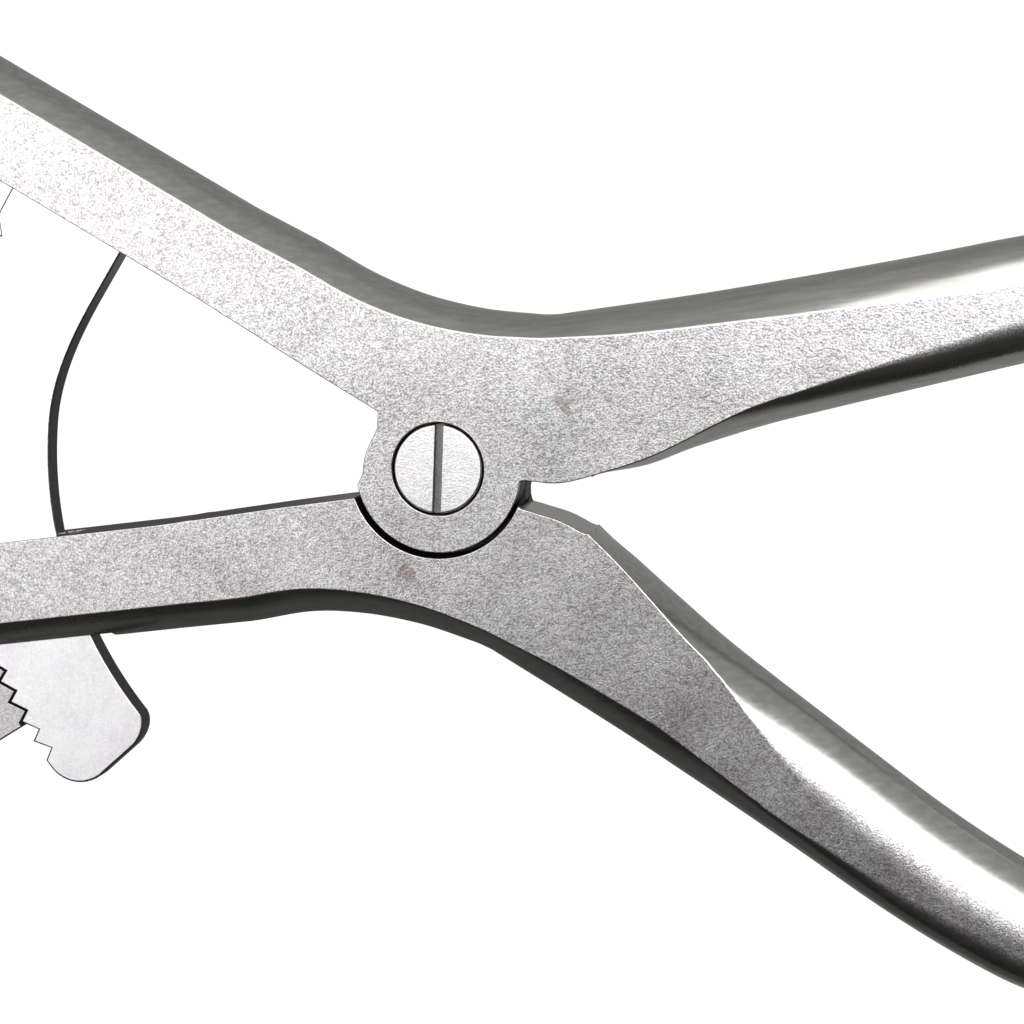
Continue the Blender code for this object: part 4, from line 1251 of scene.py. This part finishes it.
class Graph(Nodes):
    """The nodes of one material."""

    def __init__(self, name: str) -> None:
        """Makes a material with a Principled shader."""
        self.material = bpy.data.materials.new(name)
        self.material.use_nodes = True
        super().__init__(self.material.node_tree)
        self.shader = self.tree.nodes["Principled BSDF"]
        self.place = self.node("ShaderNodeTexCoord", {}, {}).outputs["Object"]

    def noise(self, size: float, detail: float = 2.0, stretch: Sequence[float] = (1, 1, 1),
              turn: float = 0.0) -> Value:
        """Adds noise.

        Args:
            size: about how large its features are, in metres.
            detail: how many finer layers it has.
            stretch: how many times longer the features are along each axis.
            turn: how far they are turned about Z, in degrees.

        Returns:
            The noise, from 0 to 1.
        """
        scaled_place = self.node("ShaderNodeMapping", {"vector_type": "TEXTURE"}, {
            "Vector": self.place, "Rotation": (0, 0, radians(turn)), "Scale": stretch})
        inputs = {"Vector": scaled_place.outputs[0], "Scale": 1 / size, "Detail": detail}
        return Value(self, self.node("ShaderNodeTexNoise", {}, inputs).outputs[0])

    def axis(self, name: str) -> Value:
        """One coordinate of the surface, in metres."""
        return self.part(self.place, name)

    def slope(self) -> Value:
        """1 where the surface is level, either way up, and 0 where it is upright."""
        facing = self.node("ShaderNodeNewGeometry", {}, {}).outputs["Normal"]
        return self.part(facing, "Z").distance_from(0.0)

    def radius(self) -> Value:
        """Distance from the joint screw's axis."""
        flat = self.node("ShaderNodeVectorMath", {"operation": "MULTIPLY"}, {0: self.place, 1: (1, 1, 0)})
        length = self.node("ShaderNodeVectorMath", {"operation": "LENGTH"}, {0: flat.outputs[0]})
        return Value(self, length.outputs["Value"])

    def mix(self, factor: Amount, first: object, second: object, blend: str = "MIX") -> bpy.types.NodeSocket:
        """A colour between two colours."""
        node = self.node("ShaderNodeMix", {"data_type": "RGBA", "blend_type": blend},
                         {0: factor, 6: first, 7: second})
        return node.outputs[2]

    def spot(self, centre: Sequence[float], radius: float, wander: Value) -> Value:
        """1 in a round spot with an uneven edge, 0 away from it; its centre is in millimetres."""
        away = self.node("ShaderNodeVectorMath", {"operation": "DISTANCE"},
                         {0: self.place, 1: [part * MM for part in centre]})
        reach = Value(self, away.outputs["Value"]) + (wander - 0.5) * (radius * 3.2)
        return reach.rise(radius * 1.15, radius * 0.65)

    def bump(self, height: Value, depth: float) -> None:
        """Gives the shader a relief of this depth in metres."""
        node = self.node("ShaderNodeBump", {}, {"Height": height, "Distance": depth, "Strength": 1.0})
        self.feed(self.shader.inputs["Normal"], node.outputs[0])


def tone(colour: Sequence[float], share: float = 1.0) -> tuple[float, float, float, float]:
    """A colour at a share of its brightness, with alpha."""
    return (colour[0] * share, colour[1] * share, colour[2] * share, 1.0)


# Finishes -------------------------------------------------------------------------------------------

@dataclass(frozen=True)
class Steel:
    """Stainless steel whose level faces are bead-blasted or ground, and whose sides are polished and carry
    painted shade.

    Each spot is a stain: its centre and its radius, in millimetres.
    """

    name: str
    colour: tuple[float, float, float] = (0.60, 0.585, 0.59)
    side_colour_and_painted_shade: tuple[float, float, float] = (0.52, 0.515, 0.485)
    flat_roughness: float = 0.30
    side_roughness: float = 0.24
    grain: float = 0.16 * MM
    contrast: float = 1.0
    relief: float = 0.004 * MM
    spots: tuple[tuple[float, float, float, float], ...] = ()
    # joint: whether the joint's recesses get painted shade, in the near-black painted shade colour
    joint: bool = False
    stain_colour: tuple[float, float, float] = (0.30, 0.235, 0.19)
    painted_shade_colour: tuple[float, float, float] = (0.035, 0.033, 0.030)

    def material(self) -> bpy.types.Material:
        """The finish as a material."""
        graph = Graph(self.name)
        blasted = graph.slope().rise(0.945, 0.99)
        speckle = graph.noise(self.grain, 2.0).rise(0.34, 0.66)
        coarse = graph.noise(self.grain * 3, 2.0).rise(0.25, 0.75)
        patches = graph.noise(7 * MM, 4.0)
        tint = graph.noise(4 * MM, 3.0)
        brushing = graph.noise(0.5 * MM, 3.0, (9, 1, 1), 20)
        marks = graph.noise(0.05 * MM, 1.0, (60, 1, 1), 37).rise(0.70, 0.76)
        marks = marks + graph.noise(0.06 * MM, 1.0, (50, 1, 1), -64).rise(0.71, 0.77)
        marks = marks * graph.noise(3 * MM, 1.0).rise(0.50, 0.64)
        pits = graph.noise(0.22 * MM, 1.0).rise(0.70, 0.78) * graph.noise(4 * MM, 1.0).rise(0.45, 0.6)
        flecks = graph.noise(self.grain * 0.9, 1.0, turn=53).rise(0.62, 0.72) * self.contrast

        light = 1 - self.contrast / 2 + self.contrast * (speckle * 0.65 + coarse * 0.35)
        light = light + (patches - 0.5) * 0.34 - pits * 0.35 + flecks * 0.4
        shade = graph.node("ShaderNodeCombineXYZ", {}, {0: light, 1: light, 2: light}).outputs[0]
        violet = (self.colour[0] * 0.93, self.colour[1] * 0.86, self.colour[2] * 0.91)
        flat = graph.mix(tint.rise(0.40, 0.64) * 0.5, tone(self.colour), tone(violet))
        flat = graph.mix(marks * 0.5, flat, tone(self.colour, 1.35))
        flat = graph.mix(1.0, flat, shade, "MULTIPLY")
        # Painted shade, partly the polished finish's own colour: upright sides take a darker side colour
        # than the level faces
        side = graph.mix(brushing.rise(0.35, 0.7), tone(self.side_colour_and_painted_shade, 0.90),
                         tone(self.side_colour_and_painted_shade, 1.06))
        colour = graph.mix(blasted, side, flat)
        rough = self.side_roughness + (self.flat_roughness - self.side_roughness) * blasted
        rough = rough + (patches - 0.5) * 0.10 + (brushing - 0.5) * 0.06 - marks * blasted * 0.10
        if self.spots:
            wander = graph.noise(0.5 * MM, 3.0)
            for *centre, radius in self.spots:
                stain = graph.spot(centre, radius * MM, wander)
                colour = graph.mix(stain * 0.6, colour, tone(self.stain_colour))
        # Painted shade: the joint's recesses are darkened to near black in colour, and made rougher
        if self.joint:
            painted_joint_shade = self.painted_joint_shade(graph)
            colour = graph.mix(painted_joint_shade, colour, tone(self.painted_shade_colour))
            rough = rough + 0.25 * painted_joint_shade
        graph.feed(graph.shader.inputs["Base Color"], colour)
        graph.feed(graph.shader.inputs["Roughness"], rough)
        graph.shader.inputs["Metallic"].default_value = 1.0
        height = (speckle + coarse * 0.6) * (0.10 + 0.90 * blasted) - marks * 0.6 - pits
        graph.bump(height, self.relief)
        return graph.material

    def painted_joint_shade(self, graph: Graph) -> Value:
        """Painted shade, near black, in the joint's recesses.

        Args:
            graph: the nodes of the finish.

        Returns:
            How dark the painted shade is: most on the walls round the boss, less in the screw's seat and
                slot, and least
            on the faces of the half-lap.
        """
        inset = 0.25 * MM
        depth = graph.axis("Z").distance_from(FORGING.middle)
        below = depth.rise(FORGING.middle - inset * 0.6, FORGING.middle - inset * 1.4)
        radius = graph.radius()
        wall = radius.rise(FORGING.boss_radius - 0.12 * MM, FORGING.boss_radius - 0.04 * MM) \
            * radius.rise(FORGING.boss_radius + 0.8 * MM, FORGING.boss_radius + 0.6 * MM)
        seat = radius.rise(FORGING.head_radius + 0.3 * MM, FORGING.head_radius + 0.2 * MM) * 0.75
        lap = depth.rise(0.8 * MM, 0.5 * MM) * graph.slope().rise(0.80, 0.93)
        near = radius.rise(14.5 * MM, 13.5 * MM)
        return below * (wall * 0.95 + seat) + lap * near * (1 - wall) * 0.6


@dataclass(frozen=True)
class Rubber:
    """Matt black rubber with a fine moulded grain and a little dust."""

    name: str
    colour: tuple[float, float, float] = (0.028, 0.028, 0.030)

    def material(self) -> bpy.types.Material:
        """The finish as a material."""
        graph = Graph(self.name)
        grain = graph.noise(0.12 * MM, 3.0)
        dust = graph.noise(2.5 * MM, 4.0).rise(0.45, 0.75) * grain.rise(0.45, 0.7)
        colour = graph.mix(dust * 0.35, tone(self.colour), tone((0.13, 0.125, 0.12)))
        graph.feed(graph.shader.inputs["Base Color"], colour)
        graph.feed(graph.shader.inputs["Roughness"], 0.62 + 0.25 * grain)
        graph.bump(grain, 0.02 * MM)
        return graph.material


# Studio ---------------------------------------------------------------------------------------------

@dataclass(frozen=True)
class Softbox:
    """A square area light that points at the joint."""

    name: str
    azimuth: float
    elevation: float
    distance: float
    size: float
    radiance: float

    def place(self) -> None:
        """Adds the light."""
        data = bpy.data.lights.new(self.name, "AREA")
        data.shape = "SQUARE"
        data.size = self.size
        data.energy = self.radiance * pi * self.size ** 2
        light = bpy.data.objects.new(self.name, data)
        bpy.context.scene.collection.objects.link(light)
        flat = direction(radians(self.azimuth)) * cos(radians(self.elevation))
        away = Vector((flat.x, flat.y, sin(radians(self.elevation))))
        light.location = away * self.distance
        light.rotation_euler = away.to_track_quat("Z", "Y").to_euler()


@dataclass(frozen=True)
class Studio:
    """A white sheet, soft lights and the camera."""

    camera_at: tuple[float, float, float] = (38.991 * MM, 29.093 * MM, 222.172 * MM)
    looking_at: tuple[float, float, float] = (6.716 * MM, -2.130 * MM, 6.6 * MM)
    camera_up: float = 101.2
    lens: float = 95.0
    horizon_light: float = 0.02
    zenith_light: float = 0.05
    window_light: float = 0.42
    floor_glow: float = 0.34
    floor_shade: float = 0.25
    floor_drop: float = 0.25 * MM

    def lights(self) -> list[Softbox]:
        """The key light, a weaker one past the handles, and one past the jaws."""
        return [
            Softbox("key_light", 122, 62, 0.62, 0.58, 1.75),
            Softbox("handle_light", 195, 52, 0.64, 0.48, 1.05),
            Softbox("jaw_light", 60, 68.5, 0.60, 0.34, 4.0),
        ]

    def build(self) -> None:
        """Adds everything round the instrument."""
        for softbox in self.lights():
            softbox.place()
        self.world()
        self.floor()
        self.camera()
        bpy.context.scene.view_settings.view_transform = "Standard"

    def world(self) -> None:
        """A dim grey surround that is lighter overhead and on the upper lever's side."""
        world = bpy.data.worlds.new("surround")
        world.use_nodes = True
        nodes = Nodes(world.node_tree)
        towards = nodes.node("ShaderNodeTexCoord", {}, {}).outputs["Generated"]
        overhead = nodes.part(towards, "Z").rise(0.15, 0.85)
        window = nodes.part(towards, "Y").rise(-0.1, 0.8)
        strength = self.horizon_light + (self.zenith_light - self.horizon_light) * overhead
        background = world.node_tree.nodes["Background"]
        nodes.feed(background.inputs["Strength"], strength + self.window_light * window)
        nodes.feed(background.inputs["Color"], (1.0, 1.0, 1.0, 1.0))
        bpy.context.scene.world = world

    def floor(self) -> None:
        """A white sheet that looks pure white and gives less light to what lies on it, least past -Y."""
        sheet = Shape()
        bmesh.ops.create_grid(sheet.work, x_segments=1, y_segments=1, size=3.0)
        bmesh.ops.translate(sheet.work, vec=(0, 0, -self.floor_drop), verts=sheet.work.verts)
        floor = new_object("floor", sheet.mesh("floor"))
        graph = Graph("white sheet")
        seen = graph.node("ShaderNodeLightPath", {}, {}).outputs["Is Camera Ray"]
        bright = graph.node("ShaderNodeEmission", {}, {"Strength": 1.05}).outputs[0]
        lit = (graph.axis("Y") + graph.axis("X") * 0.6).rise(-16 * MM, 4 * MM)
        strength = self.floor_glow * (self.floor_shade + (1 - self.floor_shade) * lit)
        soft = graph.node("ShaderNodeEmission", {}, {"Strength": strength}).outputs[0]
        both = graph.node("ShaderNodeMixShader", {}, {0: seen, 1: soft, 2: bright}).outputs[0]
        output = graph.tree.nodes["Material Output"]
        graph.feed(output.inputs["Surface"], both)
        floor.data.materials.append(graph.material)

    def camera(self) -> None:
        """The camera, over the jaws and tilted towards the joint."""
        data = bpy.data.cameras.new("camera")
        data.lens = self.lens
        data.sensor_width = 36.0
        data.clip_start = 0.01
        camera = bpy.data.objects.new("camera", data)
        bpy.context.scene.collection.objects.link(camera)
        back = (Vector(self.camera_at) - Vector(self.looking_at)).normalized()
        hint = direction(radians(self.camera_up))
        right = Vector((hint.x, hint.y, 0.0)).cross(back).normalized()
        up = back.cross(right)
        turn = Matrix((right, up, back)).transposed().to_4x4()
        camera.matrix_world = Matrix.Translation(self.camera_at) @ turn
        bpy.context.scene.camera = camera


# Building -------------------------------------------------------------------------------------------

def main() -> None:
    """Builds every piece, then the studio."""
    logging.basicConfig(level=logging.INFO)
    finishes = (
        # The satin and turned finishes get painted shade in the joint's recesses
        Steel("satin stainless", joint=True,
              spots=((9.1, 7.4, 6.6, 0.7), (-0.95, -9.1, 6.6, 0.8), (2.3, 2.6, 6.6, 0.35))),
        Steel("turned stainless", (0.86, 0.86, 0.85), flat_roughness=0.32, contrast=0.45, joint=True),
        Rubber("black rubber"),
        # The rack's and the pawl's side colours are far darker than their faces: painted shade on their
        # upright sides
        Steel("ground stainless", (0.94, 0.945, 0.95), (0.40, 0.39, 0.37), flat_roughness=0.34,
              contrast=0.16, relief=0.002 * MM),
        Steel("hardened steel", (0.62, 0.61, 0.60), (0.36, 0.35, 0.34), flat_roughness=0.34, contrast=0.5),
        Steel("spring steel", (0.42, 0.41, 0.40), (0.44, 0.43, 0.42), flat_roughness=0.32,
              side_roughness=0.26, contrast=0.15),
    )
    materials = {finish.name.replace(" ", "_"): finish.material() for finish in finishes}
    upper = UpperLever(Side.UPPER, FORGING.upper_width, 0.4 * MM)
    lower = LowerLever(Side.LOWER, FORGING.lower_width, 0.15 * MM, 2.4 * MM)
    pins = [RATCHET.pin(place) for place in RATCHET.pin_places()]
    pieces = [
        ("upper_lever_forging", upper.shape(), "upper_lever", "upper_lever", "satin_stainless"),
        ("lower_lever_forging", lower.shape(), "lower_lever", "lower_lever", "satin_stainless"),
        ("joint_screw", JointScrew().shape(), "lower_lever", "pivot_screw", "turned_stainless"),
        ("toothed_arc", RATCHET.arc(), "upper_lever", "ratchet_rack", "ground_stainless"),
        ("domed_rack_pin_inner", pins[0], "upper_lever", "rack_pin_inner", "turned_stainless"),
        ("domed_rack_pin_outer", pins[1], "upper_lever", "rack_pin_outer", "turned_stainless"),
        ("grip_pawl", PAWL.shape(), "pawl", "pawl_lever", "hardened_steel"),
        ("domed_pawl_pin", PAWL.pin(), "lower_lever", "pawl_pin", "turned_stainless"),
        ("leaf_spring", SPRING.shape(), "lower_lever", "pawl_spring", "spring_steel"),
        ("slotted_spring_screw", SPRING.screw(), "lower_lever", "spring_screw", "turned_stainless"),
        ("upper_ribbed_sleeve", TipSleeve(Side.UPPER).shape(), "upper_lever", "upper_tip_sleeve",
         "black_rubber"),
        ("lower_ribbed_sleeve", TipSleeve(Side.LOWER).shape(), "lower_lever", "lower_tip_sleeve",
         "black_rubber"),
    ]
    for name, shape, body, node, slot in pieces:
        install(name, shape, body, node, slot, materials[slot])
    Studio().build()
    LOG.info("built")


if __name__ == "__main__":
    main()
